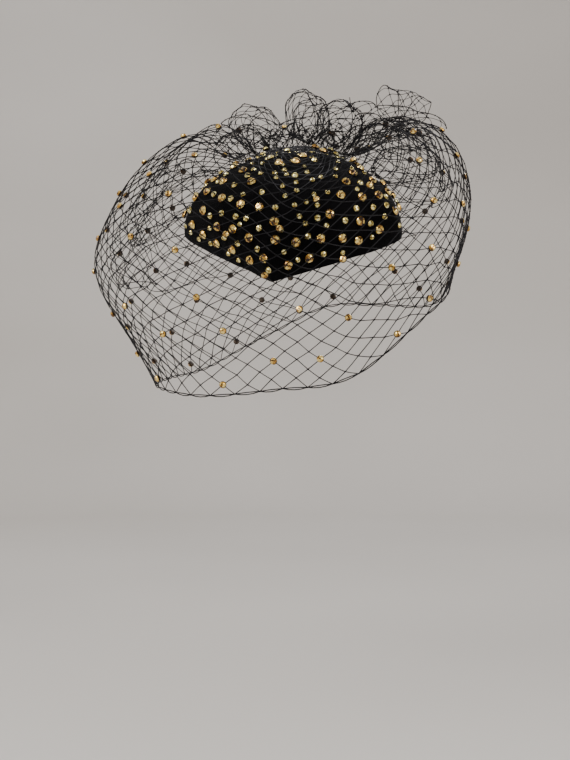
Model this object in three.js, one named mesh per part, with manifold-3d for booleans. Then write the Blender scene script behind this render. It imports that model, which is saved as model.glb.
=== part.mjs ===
// A percher cocktail hat: a velvet teardrop cap set with stones, and a birdcage veil of coarse
// diamond net that is gathered on the cap's top, balloons out at both sides and stands up in loops.
//
// Millimetres, +X to the right as one faces the hat, +Y to the back of the head, +Z up.
// The origin is the centre of the cap's head opening, in the plane of its rim, as worn.
import * as THREE from 'three';
import Module from 'manifold-3d';

const wasm = await Module();
wasm.setup();

// ---------------------------------------------------------------- driving dimensions
const DEG = Math.PI / 180;

const CAP = {
  halfWidth: 79,
  front: 67, // centre to the pointed front, in the rim's plane
  roundFront: 60, // the same at the crown, where the dome is round
  back: 80,
  height: 52,
  wall: 3,
  tilt: 34 * DEG, // front low
  roll: 2.5 * DEG, // right side low
  domePower: 2.3, // above 2 the dome is fuller at the shoulders
  armWidth: 0.42, // where each front arm starts to curve, as a share of the half width
  armSlope: 0.7,
  sideLead: 0.16, // how far the side runs straight forward before it turns, as a share of front
  rimSteps: 60, // points that the front arm is read at
  turns: 36,
  rings: 7,
};

const STONE = { // sizes of the set stones, across and above the velvet
  large: { across: 6.6, tall: 3.1, girdle: 0.42, sides: 5, count: 40, apart: 12 },
  wide: { across: 6.4, tall: 2.9, girdle: 0, sides: 4, count: 24, apart: 12 },
  small: { across: 4.6, tall: 2.3, girdle: 0, sides: 4, count: 42, apart: 0 },
  lift: 0.3, // gap between a large stone and the velvet
  sunk: 2, // how far the foot of a wide or small stone is let into the cap or the gather
  foot: 0.72, // widths of a large stone's foot and of every stone's table, against its girdle
  table: 0.56,
  crowding: 1.25, // two stones keep at least this many times their half widths, and the spare
  spare: 0.3,
  outTo: 0.965, // share of the way to the rim, and how much further it goes at the front
  furtherInFront: 0.025,
  moreInFront: 0.3, // how much the stones crowd towards the front: 0 is evenly round
  choices: 4, // each stone goes to the emptiest of so many free places
  roomEnough: 16,
  fromGather: 1.5,
  seed: 4714,
  tries: 20000,
};

const GATHER_STONES = { // on the bunched net: every so many is wide, the others are small
  count: 13,
  wideEvery: 3,
  apart: 8.5,
  fromKnots: 14,
  outFrom: 0.2, // shares of the way to the gather's edge
  outTo: 0.85,
  frontAngle: 110, // how far round to either side of the front
  seed: 2903,
};

const NET = { wall: 1.5, overVelvet: 5 }; // the net rides this far over the velvet and its stones
const RIM_CLEAR = 4; // and it is free of the cap from this far below the rim's plane

// The veil around its gather, one row for each fold, by azimuth in degrees: 0 is the front,
// positive to the right. Each pair is the distance from the gather's axis and the height.
const GATHER_AXIS = [8, -4];
const VEIL_COLUMNS = ['azimuth', 'edgeR', 'edgeZ', 'shoulderR', 'shoulderZ', 'reachR', 'reachZ',
  'bellyR', 'bellyZ', 'hemR', 'hemZ'];
const VEIL_STATIONS = ['edge', 'shoulder', 'reach', 'belly', 'hem'];
const VEIL_ROWS = [
  [-180, 42, 60, 58, 89, 94, 44, 104, 0, 92, -45],
  [-150, 42, 60, 68, 90, 116, 44, 126, -10, 100, -70],
  [-120, 40, 57, 79, 86, 134, 34, 142, -30, 98, -94],
  [-90, 38, 54, 87, 72, 142, 12, 146, -32, 97, -101],
  [-60, 38, 48, 78, 50, 124, 14, 131, -42, 104, -107],
  [-30, 42, 38, 60, 24, 84, -16, 94, -60, 99, -113],
  [0, 49, 22, 57, 10, 70, -28, 82, -66, 87, -109],
  [30, 46, 32, 62, 22, 84, -12, 93, -54, 100, -101],
  [60, 36, 50, 76, 48, 106, 12, 116, -24, 113, -57],
  [90, 36, 56, 81, 74, 113, 46, 116, 2, 104, -38],
  [120, 38, 58, 79, 85, 115, 54, 119, 8, 100, -48],
  [150, 40, 60, 66, 90, 100, 50, 108, 5, 92, -45],
];
const PLEATS = { count: 12, depth: 3, centre: 0.1, spread: 0.1 }; // standing folds by the gather
const VEIL_CUT = { // the coarse gaps of the veil
  cellsRound: 12,
  halfRows: 8,
  first: 0.2, // share of the way down where the gaps start
  last: 0.975, // and where the hem's band starts
  open: 0.58,
  hemOpen: 0.6,
  sub: 2,
};

// Each loop of net springs from a sewn knot. Angles in degrees: the way it points (azimuth as
// above, elevation) and the way its width runs. cup is how much its edges draw in, and droop how
// far its far end hangs below a straight line.
const LOOP_COLUMNS = ['name', 'x', 'y', 'over', 'pointAz', 'pointEl', 'widthAz', 'widthEl',
  'height', 'breadth', 'halfWidth', 'footHalf', 'cup', 'droop'];
const LOOP_ROWS = [
  ['loop_centre', 9.6, 12, 'gather', -60, 86, 16, -8, 37, 15, 22, 4.6, 0.38, 0],
  ['loop_right_tall', 73, 31, 'veil', 60, 78, 138, 0, 22, 10.2, 18, 6, 0, 0],
  ['loop_left', -18, 11, 'gather', -92, 64, 6, 0, 39, 14, 18, 7, 0.2, 7],
  ['loop_right_low', 29, 20, 'gather', 80, 78, 20, 0, 32, 12.5, 17, 7, 0.2, 0],
  ['loop_right_inner', 57, 14, 'cap', 96, 12, 10, 0, 48, 12, 17, 7, 0.1, 6],
  ['loop_left_inner', -56, 30, 'cap', -88, -12, 0, 0, 76, 11, 13, 6, 0.1, 32],
];
const LOOP = {
  knot: 2.6, // half the knot's thickness
  knotSides: 6,
  gap: 0.8, // from the knot to what it is sewn on
  overVeil: 2, // and more where that is the veil
  endRise: 0.9, // the band's ends start this far up, inside the knot
  roundness: 1.15,
  shoulder: 0.8, // below 1 the band widens sooner
  cells: 4,
  open: 0.7,
  fromStones: 15,
};

const GATHER = {
  crownZ: 70,
  lift: 0.9, // gap to the velvet
  mean: 3.4, // thickness of the bunched net, and how far its folds rise and fall
  ripple: 1.4,
  folds: 3,
  thinned: 0.38, // how much of the thickness is lost at its edge
  rings: 6,
  turns: 30,
};

const COMB = {
  width: 53.4,
  spine: 4,
  thick: 1.8,
  teeth: 9,
  tooth: 2.2,
  tipHalf: 0.3, // half a tooth's tip against its root
  reach: 24,
  fromCentre: 43.6,
  above: 3,
};

// ---------------------------------------------------------------- colours
const velvet = new THREE.MeshStandardMaterial({ color: 0x0b0a0c, roughness: 0.95, metalness: 0 });
const net = new THREE.MeshStandardMaterial({ color: 0x15110f, roughness: 0.6, metalness: 0 });
const topaz = new THREE.MeshStandardMaterial({ color: 0xc48a3a, roughness: 0.12, metalness: 0.6 });
const plastic = new THREE.MeshStandardMaterial({ color: 0x1a1614, roughness: 0.4, metalness: 0 });

// ---------------------------------------------------------------- small tools
const capTurn = new THREE.Matrix4().makeRotationY(CAP.roll)
  .multiply(new THREE.Matrix4().makeRotationX(CAP.tilt));
const capTurnBack = capTurn.clone().invert();

// A unit direction from an azimuth (0 the front, 90 the right) and an elevation, in degrees.
function direction(azimuth, elevation) {
  const a = azimuth * DEG;
  const e = elevation * DEG;
  return new THREE.Vector3(Math.sin(a) * Math.cos(e), -Math.cos(a) * Math.cos(e), Math.sin(e));
}

// Random numbers in 0..1 that are the same on every run.
function seeded(seed) {
  let state = seed;
  return () => {
    state = (state * 16807) % 2147483647;
    return state / 2147483647;
  };
}

// Rows of values as objects with the columns' names.
const asTable = (columns, rows) => rows.map((row) => Object.fromEntries(columns.map((c, k) => [c, row[k]])));

// A smooth closed run of table rows around the circle, read at any azimuth.
function aroundRows(columns, rows, azimuth) {
  const count = rows.length;
  const at = (k) => {
    const lap = Math.floor(k / count);
    const row = rows[k - lap * count];
    return [row[0] + lap * 360, ...row.slice(1)];
  };
  const turned = azimuth - 360 * Math.floor((azimuth - rows[0][0]) / 360);
  let k = 0;
  while (at(k + 1)[0] <= turned) k += 1;
  const [before, here, next, after] = [at(k - 1), at(k), at(k + 1), at(k + 2)];
  const span = next[0] - here[0];
  const t = (turned - here[0]) / span;
  const read = here.map((value, c) => {
    const slopeHere = (next[c] - before[c]) / (next[0] - before[0]);
    const slopeNext = (after[c] - value) / (after[0] - here[0]);
    return (2 * t ** 3 - 3 * t ** 2 + 1) * value + (t ** 3 - 2 * t ** 2 + t) * span * slopeHere
      + (3 * t ** 2 - 2 * t ** 3) * next[c] + (t ** 3 - t ** 2) * span * slopeNext;
  });
  return asTable(columns, [read])[0];
}

const veilFold = (azimuth) => aroundRows(VEIL_COLUMNS, VEIL_ROWS, azimuth);

// Azimuth in degrees and distance of a place in plan, seen from the gather's axis.
function fromAxis(x, y) {
  const [dx, dy] = [x - GATHER_AXIS[0], y - GATHER_AXIS[1]];
  return { azimuth: Math.atan2(dx, -dy) / DEG, far: Math.hypot(dx, dy) };
}

// The place at an azimuth and a distance from the gather's axis, at a height.
function aroundAxis(azimuth, far, z) {
  const a = azimuth * DEG;
  return new THREE.Vector3(GATHER_AXIS[0] + far * Math.sin(a), GATHER_AXIS[1] - far * Math.cos(a), z);
}

// ---------------------------------------------------------------- the cap's form
// The rim in its own plane, from the pointed front round by the right, as polar radii.
const rimTable = (() => {
  const { halfWidth, front, armWidth, armSlope, sideLead, rimSteps } = CAP;
  const arm = new THREE.CubicBezierCurve(
    new THREE.Vector2(0, -front),
    new THREE.Vector2(armWidth * halfWidth, -front + armWidth * halfWidth * armSlope),
    new THREE.Vector2(halfWidth, -sideLead * front),
    new THREE.Vector2(halfWidth, 0),
  );
  return arm.getPoints(rimSteps).map((p) => [Math.atan2(p.x, -p.y), p.length()]);
})();

// The rim's radius at an angle from the front, the same on both sides.
function rimRadius(angle) {
  const a = Math.abs(Math.atan2(Math.sin(angle), Math.cos(angle)));
  if (a >= Math.PI / 2) {
    const s = Math.sin(a) / CAP.halfWidth;
    const c = Math.cos(a) / CAP.back;
    return 1 / Math.hypot(s, c);
  }
  let k = 1;
  while (rimTable[k][0] < a) k += 1;
  const [a0, r0] = rimTable[k - 1];
  const [a1, r1] = rimTable[k];
  return r0 + (r1 - r0) * (a - a0) / (a1 - a0);
}

// The dome is round at its crown and takes the rim's pointed outline towards its edge.
function outlineRadius(angle, share) {
  const depth = Math.cos(angle) > 0 ? CAP.roundFront : CAP.back;
  const round = 1 / Math.hypot(Math.sin(angle) / CAP.halfWidth, Math.cos(angle) / depth);
  const pointed = Math.min(1, share) ** 4;
  return round + (rimRadius(angle) - round) * pointed;
}

// A point of the dome grown by offset: share 0 is the crown and 1 the rim.
function domePoint(angle, share, offset) {
  const r = (outlineRadius(angle, share) + offset) * share;
  const h = (CAP.height + offset) * Math.sqrt(Math.max(0, 1 - share ** CAP.domePower));
  return new THREE.Vector3(r * Math.sin(angle), -r * Math.cos(angle), h).applyMatrix4(capTurn);
}

// The way that the dome faces at a place.
function domeNormal(angle, share) {
  const step = 0.004;
  const round = domePoint(angle + step, share, 0).sub(domePoint(angle - step, share, 0));
  const down = domePoint(angle, share + step, 0).sub(domePoint(angle, share - step, 0));
  return down.cross(round).normalize();
}

// How far out a point lies against the dome grown by offset: 1 is on it.
function domeLevel(point, offset) {
  const q = point.clone().applyMatrix4(capTurnBack);
  const angle = Math.atan2(q.x, -q.y);
  let share = 0.5;
  for (let k = 0; k < 8; k += 1) share = Math.hypot(q.x, q.y) / (outlineRadius(angle, share) + offset);
  const rise = Math.max(0, q.z) / (CAP.height + offset);
  return { level: Math.sqrt(share ** CAP.domePower + rise ** 2), above: q.z, angle, share };
}

// The way that the dome faces below a point that lies over it.
function domeNormalAt(point) {
  const { angle, share } = domeLevel(point, 0);
  return domeNormal(angle, share);
}

// The point slid along its ray from the cap's centre until it lies on the grown dome.
function ontoDome(point, offset) {
  const p = point.clone();
  for (let k = 0; k < 12; k += 1) p.divideScalar(domeLevel(p, offset).level ** 0.9);
  return p;
}

// The point of the grown dome straight above a place in plan.
function domeTop(x, y, offset) {
  let [low, high] = [0, 120];
  for (let k = 0; k < 30; k += 1) {
    const z = (low + high) / 2;
    if (domeLevel(new THREE.Vector3(x, y, z), offset).level < 1) low = z;
    else high = z;
  }
  return new THREE.Vector3(x, y, high);
}

// The same as ontoDome, for points inside the grown dome only.
function clearOfDome(point, offset) {
  const { level, above } = domeLevel(point, offset);
  return level < 1 && above > -RIM_CLEAR ? ontoDome(point, offset) : point;
}

// ---------------------------------------------------------------- sheets and closed walls
// A sheet is a set of faces over (u, v). Corners that share a place are one corner, and u wraps.
class Sheet {
  constructor(wraps) {
    this.wraps = wraps;
    this.places = [];
    this.index = new Map();
    this.faces = [];
  }

  corner(u, v) {
    const turned = this.wraps ? u - Math.floor(u + 1e-7) : u;
    const key = `${Math.round(turned * 1e5)},${Math.round(v * 1e5)}`;
    if (!this.index.has(key)) {
      this.index.set(key, this.places.length);
      this.places.push([turned, v]);
    }
    return this.index.get(key);
  }

  face(...points) {
    const ids = points.map(([u, v]) => this.corner(u, v));
    for (let k = 1; k + 1 < ids.length; k += 1) this.faces.push([ids[0], ids[k], ids[k + 1]]);
  }
}

// Diamond cells between two levels of v, each with a diamond gap, and half cells at both edges,
// plain except for those of the hem where hemOpen is given. steps counts half cells along u.
function addDiamonds(sheet, { steps, halfRows, v0, v1, open, sub, hemOpen = 0 }) {
  const du = 1 / steps;
  const dv = (v1 - v0) / halfRows;
  const place = (c, r) => [c * du, v0 + r * dv];
  const lerp = (p, q, t) => [p[0] + (q[0] - p[0]) * t, p[1] + (q[1] - p[1]) * t];
  const side = (p, q) => Array.from({ length: sub }, (_, k) => lerp(p, q, k / sub));
  for (let r = 0; r <= halfRows; r += 1) {
    for (let c = 0; c <= steps; c += 1) {
      if ((c + r) % 2 === 0) continue;
      const atStart = c === 0;
      const atEnd = c === steps;
      if (sheet.wraps && atEnd) continue;
      const centre = place(c, r);
      const [left, right] = [place(c - 1, r), place(c + 1, r)];
      const [up, down] = [place(c, r - 1), place(c, r + 1)];
      const whole = r > 0 && r < halfRows && (sheet.wraps || (!atStart && !atEnd));
      if (whole) {
        const ring = [...side(left, down), ...side(down, right), ...side(right, up), ...side(up, left)];
        ring.forEach((p, k) => {
          const q = ring[(k + 1) % ring.length];
          sheet.face(p, q, lerp(centre, q, open), lerp(centre, p, open));
        });
        continue;
      }
      const rim = [];
      if (r === 0) rim.push(...side(left, down), ...side(down, right), right);
      else if (r === halfRows) rim.push(...side(right, up), ...side(up, left), left);
      else if (atStart) rim.push(...side(down, right), ...side(right, up), up);
      else rim.push(...side(up, left), ...side(left, down), down);
      if (hemOpen && r === halfRows) {
        const hub = lerp(centre, up, 1 / 3);
        const edge = [...rim, centre];
        edge.forEach((p, k) => {
          const q = edge[(k + 1) % edge.length];
          sheet.face(p, q, lerp(hub, q, hemOpen), lerp(hub, p, hemOpen));
        });
      } else {
        sheet.face(centre, ...rim.filter(([u]) => sheet.wraps || (u > -1e-9 && u < 1 + 1e-9)));
      }
    }
  }
}

// Plain cells between two levels of v.
function addPlain(sheet, { steps, rows, v0, v1 }) {
  for (let r = 0; r < rows; r += 1) {
    const [a, b] = [v0 + (v1 - v0) * r / rows, v0 + (v1 - v0) * (r + 1) / rows];
    for (let c = 0; c < steps; c += 1) {
      sheet.face([c / steps, a], [c / steps, b], [(c + 1) / steps, b], [(c + 1) / steps, a]);
    }
  }
}

// A closed solid from corner positions and triangles, turned so that its faces point out.
function solidGeometry(positions, triangles) {
  let volume = 0;
  for (const [a, b, c] of triangles) {
    volume += positions[a].dot(new THREE.Vector3().crossVectors(positions[b], positions[c]));
  }
  const faces = volume < 0 ? triangles.map(([a, b, c]) => [a, c, b]) : triangles;
  const geometry = new THREE.BufferGeometry();
  geometry.setAttribute('position',
    new THREE.Float32BufferAttribute(positions.flatMap((p) => [p.x, p.y, p.z]), 3));
  geometry.setIndex(faces.flat());
  return geometry;
}

// The sheet bent onto surface(u, v) and given a wall, closed along every free edge.
function thicken(sheet, surface, wall) {
  const step = 2e-3;
  const middle = sheet.places.map(([u, v]) => surface(u, v));
  const normals = sheet.places.map(([u, v]) => {
    const [u0, u1] = sheet.wraps ? [u - step, u + step] : [Math.max(0, u - step), Math.min(1, u + step)];
    const [v0, v1] = [Math.max(0, v - step), Math.min(1, v + step)];
    const along = surface(u1, v).sub(surface(u0, v));
    const down = surface(u, v1).sub(surface(u, v0));
    return along.cross(down).normalize();
  });
  const count = middle.length;
  const outer = middle.map((p, k) => p.clone().addScaledVector(normals[k], wall / 2));
  const inner = middle.map((p, k) => p.clone().addScaledVector(normals[k], -wall / 2));
  const triangles = [];
  const edges = new Map();
  for (const [a, b, c] of sheet.faces) {
    triangles.push([a, b, c], [a + count, c + count, b + count]);
    for (const [p, q] of [[a, b], [b, c], [c, a]]) edges.set(`${p},${q}`, [p, q]);
  }
  for (const [p, q] of edges.values()) {
    if (edges.has(`${q},${p}`)) continue;
    triangles.push([q, p, p + count], [q, p + count, q + count]);
  }
  return solidGeometry([...outer, ...inner], triangles);
}

// To and from the library that joins solids.
function toSolid(geometry) {
  const at = geometry.getAttribute('position');
  const index = geometry.getIndex();
  const seen = new Map();
  const corners = [];
  const ids = [];
  for (let k = 0; k < index.count; k += 1) {
    const i = index.getX(k);
    const xyz = [at.getX(i), at.getY(i), at.getZ(i)];
    const key = xyz.map((value) => value.toFixed(4)).join();
    if (!seen.has(key)) {
      seen.set(key, corners.length / 3);
      corners.push(...xyz);
    }
    ids.push(seen.get(key));
  }
  const kept = [];
  for (let k = 0; k < ids.length; k += 3) {
    const [a, b, c] = ids.slice(k, k + 3);
    if (a !== b && b !== c && c !== a) kept.push(a, b, c);
  }
  return new wasm.Manifold(new wasm.Mesh({
    numProp: 3,
    vertProperties: new Float32Array(corners),
    triVerts: new Uint32Array(kept),
  }));
}

function fromSolid(solid) {
  const mesh = solid.getMesh();
  const geometry = new THREE.BufferGeometry();
  geometry.setAttribute('position', new THREE.Float32BufferAttribute(mesh.vertProperties, 3));
  geometry.setIndex(Array.from(mesh.triVerts));
  return geometry;
}

function joined(geometries) {
  return fromSolid(geometries.map(toSolid).reduce((all, next) => all.add(next)));
}

// ---------------------------------------------------------------- the veil's form
// A point of the veil: turn is 0..1 around from the back by the left, down is 0 at the gather.
function veilPoint(turn, down) {
  const azimuth = -180 + 360 * turn;
  const fold = veilFold(azimuth);
  const knots = VEIL_STATIONS.map((name) => new THREE.Vector3(fold[`${name}R`], fold[`${name}Z`], 0));
  const profile = new THREE.CatmullRomCurve3(knots, false, 'centripetal').getPoint(down);
  const { count, depth, centre, spread } = PLEATS;
  const wave = 0.5 + 0.5 * Math.cos(count * 2 * Math.PI * turn);
  const pleat = depth * wave * Math.exp(-(((down - centre) / spread) ** 2));
  const point = clearOfDome(aroundAxis(azimuth, profile.x, profile.y), NET.overVelvet);
  return point.add(new THREE.Vector3(0, 0, pleat));
}

function veilGeometry() {
  const sheet = new Sheet(true);
  const steps = VEIL_CUT.cellsRound * 2;
  const { halfRows, first, last, open, hemOpen, sub } = VEIL_CUT;
  addPlain(sheet, { steps, rows: 2, v0: 0, v1: first });
  addDiamonds(sheet, { steps, halfRows, v0: first, v1: last, open, sub, hemOpen });
  addPlain(sheet, { steps, rows: 1, v0: last, v1: 1 });
  return thicken(sheet, veilPoint, NET.wall);
}

// ---------------------------------------------------------------- the gather
// Bunched net on the cap's top: a low mound of folds that run round the axis, deepest in front.
function gatherPoint(azimuth, out, upper) {
  const { crownZ, mean, ripple, folds, lift, thinned } = GATHER;
  const { edgeR, edgeZ } = veilFold(azimuth);
  const point = aroundAxis(azimuth, edgeR * out, edgeZ + (crownZ - edgeZ) * (1 - out * out));
  const facing = 0.5 + 0.5 * Math.cos(azimuth * DEG);
  const wave = ripple * facing * Math.cos(out * folds * 2 * Math.PI);
  const depth = (mean + wave * out) * (1 - thinned * out ** 4);
  return ontoDome(point, lift + (upper ? depth : 0));
}

function gatherMound() {
  const { rings, turns } = GATHER;
  const at = (turn, out, upper) => gatherPoint(-180 + 360 * turn, out, upper);
  const positions = [];
  const ring = (out, upper) => {
    const first = positions.length;
    for (let k = 0; k < turns; k += 1) positions.push(at(k / turns, out, upper));
    return first;
  };
  const rows = [];
  const levels = Array.from({ length: rings }, (_, k) => (k + 1) / rings);
  positions.push(at(0, 0, true));
  for (const out of levels) rows.push(ring(out, true));
  for (const out of [...levels].reverse()) rows.push(ring(out, false));
  positions.push(at(0, 0, false));
  const last = positions.length - 1;
  const triangles = [];
  for (let k = 0; k < turns; k += 1) {
    const n = (k + 1) % turns;
    triangles.push([0, rows[0] + k, rows[0] + n]);
    for (let r = 0; r + 1 < rows.length; r += 1) {
      const [p, q] = [rows[r], rows[r + 1]];
      triangles.push([p + k, q + k, q + n], [p + k, q + n, p + n]);
    }
    const end = rows[rows.length - 1];
    triangles.push([end + k, last, end + n]);
  }
  return solidGeometry(positions, triangles);
}

// ---------------------------------------------------------------- the loops
// Where a loop's knot sits: just over the gather, the veil or the cap.
function loopFoot({ x, y, over }) {
  const knot = LOOP.knot + LOOP.gap;
  if (over === 'cap') return domeTop(x, y, knot);
  if (over === 'gather') return domeTop(x, y, GATHER.lift + GATHER.mean + knot);
  return veilTop(x, y).add(new THREE.Vector3(0, 0, knot + LOOP.overVeil));
}

// The point of the veil's upper half over a place in plan.
function veilTop(x, y) {
  const { azimuth, far } = fromAxis(x, y);
  const turn = (azimuth + 180) / 360;
  const steps = 200;
  const points = Array.from({ length: steps + 1 }, (_, k) => veilPoint(turn, 0.5 * k / steps));
  const miss = (p) => Math.abs(fromAxis(p.x, p.y).far - far);
  return points.reduce((best, p) => (miss(p) < miss(best) ? p : best));
}

function loopFrame(row) {
  const out = direction(row.pointAz, row.pointEl);
  const width = direction(row.widthAz, row.widthEl);
  width.addScaledVector(out, -width.dot(out)).normalize();
  const side = new THREE.Vector3().crossVectors(out, width);
  return { foot: loopFoot(row), out, width, side };
}

// A point of a loop: round is 0..1 along the band from knot to knot, across 0..1 over its width.
function loopPoint(row, frame, round, across) {
  const ends = Math.acos(1 - 2 * LOOP.endRise / row.height) / (2 * Math.PI);
  const s = ends + (1 - 2 * ends) * round;
  const w = 2 * across - 1;
  const drawn = 1 - row.cup * w * w;
  const angle = 2 * Math.PI * s;
  const rise = row.height * 0.5 * (1 - Math.cos(angle)) * (0.5 + 0.5 * drawn);
  const spread = row.breadth * LOOP.roundness * Math.sin(angle) * Math.sqrt(Math.sin(angle / 2)) * drawn;
  const reach = row.footHalf + (row.halfWidth - row.footHalf) * Math.sin(Math.PI * s) ** LOOP.shoulder;
  return frame.foot.clone()
    .addScaledVector(frame.out, rise)
    .addScaledVector(frame.side, spread)
    .addScaledVector(frame.width, reach * w)
    .add(new THREE.Vector3(0, 0, -row.droop * (rise / row.height) ** 2));
}

function loopGeometry(row) {
  const frame = loopFrame(row);
  const sheet = new Sheet(false);
  addDiamonds(sheet, { steps: LOOP.cells * 2, halfRows: 2, v0: 0, v1: 1, open: LOOP.open, sub: 1 });
  const band = thicken(sheet, (u, v) => loopPoint(row, frame, u, v), NET.wall);
  const knot = new THREE.CylinderGeometry(LOOP.knot, LOOP.knot, row.footHalf * 2, LOOP.knotSides);
  knot.applyQuaternion(new THREE.Quaternion().setFromUnitVectors(new THREE.Vector3(0, 1, 0), frame.width));
  knot.translate(frame.foot.x, frame.foot.y, frame.foot.z);
  return joined([band, knot]);
}

function named(name, geometry, material) {
  const mesh = new THREE.Mesh(geometry, material);
  mesh.name = name;
  return mesh;
}

// ---------------------------------------------------------------- stones on the velvet
// A faceted stone turned about its axis: a large one has a girdle, a small one plain sloping sides.
function stoneGeometry({ across, tall, sides, girdle }, foot) {
  const r = across / 2;
  const flank = girdle ? [[r * STONE.foot, foot], [r, tall * girdle]] : [[r, foot]];
  const profile = [[0, foot], ...flank, [r * STONE.table, tall], [0, tall]];
  return new THREE.LatheGeometry(profile.map(([x, y]) => new THREE.Vector2(x, y)), sides);
}

// Places on the dome, scattered with the same numbers each run: no two closer than they may be,
// none by the rim, on the gather or under a loop's knot.
function scatterStones(loopRows) {
  const next = seeded(STONE.seed);
  const knots = loopRows.filter((row) => row.over === 'cap').map((row) => loopFoot(row));
  const placed = [];
  const free = (kind, point, half) => {
    if (knots.some((knot) => knot.distanceTo(point) < LOOP.fromStones)) return false;
    const { azimuth, far } = fromAxis(point.x, point.y);
    if (point.z > 0 && far < veilFold(azimuth).edgeR + half + STONE.fromGather) return false;
    return placed.every((other) => {
      const alike = Math.min(STONE[kind].apart, STONE[other.kind].apart);
      const least = Math.max(alike, (other.half + half) * STONE.crowding + STONE.spare);
      return other.point.distanceTo(point) > least;
    });
  };
  for (const kind of ['large', 'wide', 'small']) {
    const { count, across } = STONE[kind];
    const half = across / 2;
    let made = 0;
    let best = { room: 0 };
    let found = 0;
    for (let tries = 0; tries < STONE.tries && made < count; tries += 1) {
      const turn = next() * 2 * Math.PI;
      const angle = turn - STONE.moreInFront * Math.sin(turn);
      const outTo = STONE.outTo + STONE.furtherInFront * Math.max(0, Math.cos(angle));
      const share = Math.sqrt(1 - next() ** 2) * outTo; // even over a dome
      const point = domePoint(angle, share, 0);
      if (!free(kind, point, half)) continue;
      const room = Math.min(...placed.map((other) => other.point.distanceTo(point)), STONE.roomEnough);
      if (room > best.room) best = { room, angle, share, point };
      found += 1;
      if (found % STONE.choices > 0) continue;
      const normal = domeNormal(best.angle, best.share);
      placed.push({ kind, half, point: best.point, normal, spin: next() * 360 });
      best = { room: 0 };
      made += 1;
    }
  }
  return placed;
}

// Places on the front of the gather, away from the knots of the loops.
function scatterGatherStones(loopRows) {
  const { count, wideEvery, apart, fromKnots, outFrom, outTo, frontAngle, seed } = GATHER_STONES;
  const next = seeded(seed);
  const knots = loopRows.filter((row) => row.over === 'gather').map((row) => loopFoot(row));
  const placed = [];
  const free = (point) => knots.every((knot) => knot.distanceTo(point) > fromKnots)
    && placed.every((other) => other.point.distanceTo(point) > apart);
  for (let tries = 0; tries < STONE.tries && placed.length < count; tries += 1) {
    const azimuth = (2 * next() - 1) * frontAngle;
    const out = outFrom + (outTo - outFrom) * Math.sqrt(next());
    const point = gatherPoint(azimuth, out, true);
    if (!free(point)) continue;
    const kind = placed.length % wideEvery === 0 ? 'wide' : 'small';
    placed.push({ kind, point, normal: domeNormalAt(point), spin: next() * 360 });
  }
  return placed;
}

function settle(object, { point, normal, spin }, lift) {
  const up = new THREE.Vector3(0, 1, 0);
  object.quaternion.setFromUnitVectors(up, normal)
    .multiply(new THREE.Quaternion().setFromAxisAngle(up, spin * DEG));
  object.position.copy(point).addScaledVector(normal, lift);
  return object;
}

// ---------------------------------------------------------------- the cap
function capShell() {
  const { turns, rings, wall } = CAP;
  const positions = [domePoint(0, 0, 0)];
  const rows = [];
  const addRing = (share, offset) => {
    rows.push(positions.length);
    for (let k = 0; k < turns; k += 1) positions.push(domePoint(k / turns * 2 * Math.PI, share, offset));
  };
  const shares = Array.from({ length: rings }, (_, k) => Math.sin((k + 1) / rings * Math.PI / 2));
  for (const share of shares) addRing(share, 0);
  for (const share of [...shares].reverse()) addRing(share, -wall);
  positions.push(domePoint(0, 0, -wall));
  const last = positions.length - 1;
  const triangles = [];
  for (let k = 0; k < turns; k += 1) {
    const n = (k + 1) % turns;
    triangles.push([0, rows[0] + k, rows[0] + n]);
    for (let r = 0; r + 1 < rows.length; r += 1) {
      const [p, q] = [rows[r], rows[r + 1]];
      triangles.push([p + k, q + k, q + n], [p + k, q + n, p + n]);
    }
    const end = rows[rows.length - 1];
    triangles.push([end + k, last, end + n]);
  }
  return solidGeometry(positions, triangles);
}

// A solid with stones let into it, as one solid.
function withStones(geometry, stones) {
  const set = stones.map((stone) => {
    const mesh = settle(new THREE.Mesh(stoneGeometry(STONE[stone.kind], -STONE.sunk)), stone, 0);
    mesh.updateMatrix();
    return toSolid(mesh.geometry.clone().applyMatrix4(mesh.matrix));
  });
  return fromSolid(set.reduce((all, next) => all.add(next), toSolid(geometry)));
}

// ---------------------------------------------------------------- the comb
// Sewn inside the pointed front, its teeth to the back: one flat piece cut as a comb.
function combMesh() {
  const { width, spine, thick, teeth, tooth, tipHalf, reach, fromCentre, above } = COMB;
  const outline = new THREE.Shape();
  outline.moveTo(-width / 2, -spine);
  outline.lineTo(width / 2, -spine);
  outline.lineTo(width / 2, 0);
  const pitch = (width - tooth) / (teeth - 1);
  for (let k = teeth - 1; k >= 0; k -= 1) {
    const x = -width / 2 + tooth / 2 + k * pitch;
    if (k < teeth - 1) outline.lineTo(x + tooth / 2, 0);
    outline.lineTo(x + tooth * tipHalf, reach);
    outline.lineTo(x - tooth * tipHalf, reach);
    if (k > 0) outline.lineTo(x - tooth / 2, 0);
  }
  outline.lineTo(-width / 2, 0);
  const geometry = new THREE.ExtrudeGeometry(outline, { depth: thick, bevelEnabled: false });
  const mesh = named('comb', geometry, plastic);
  mesh.position.set(0, -fromCentre + spine, above);
  return mesh;
}

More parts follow.
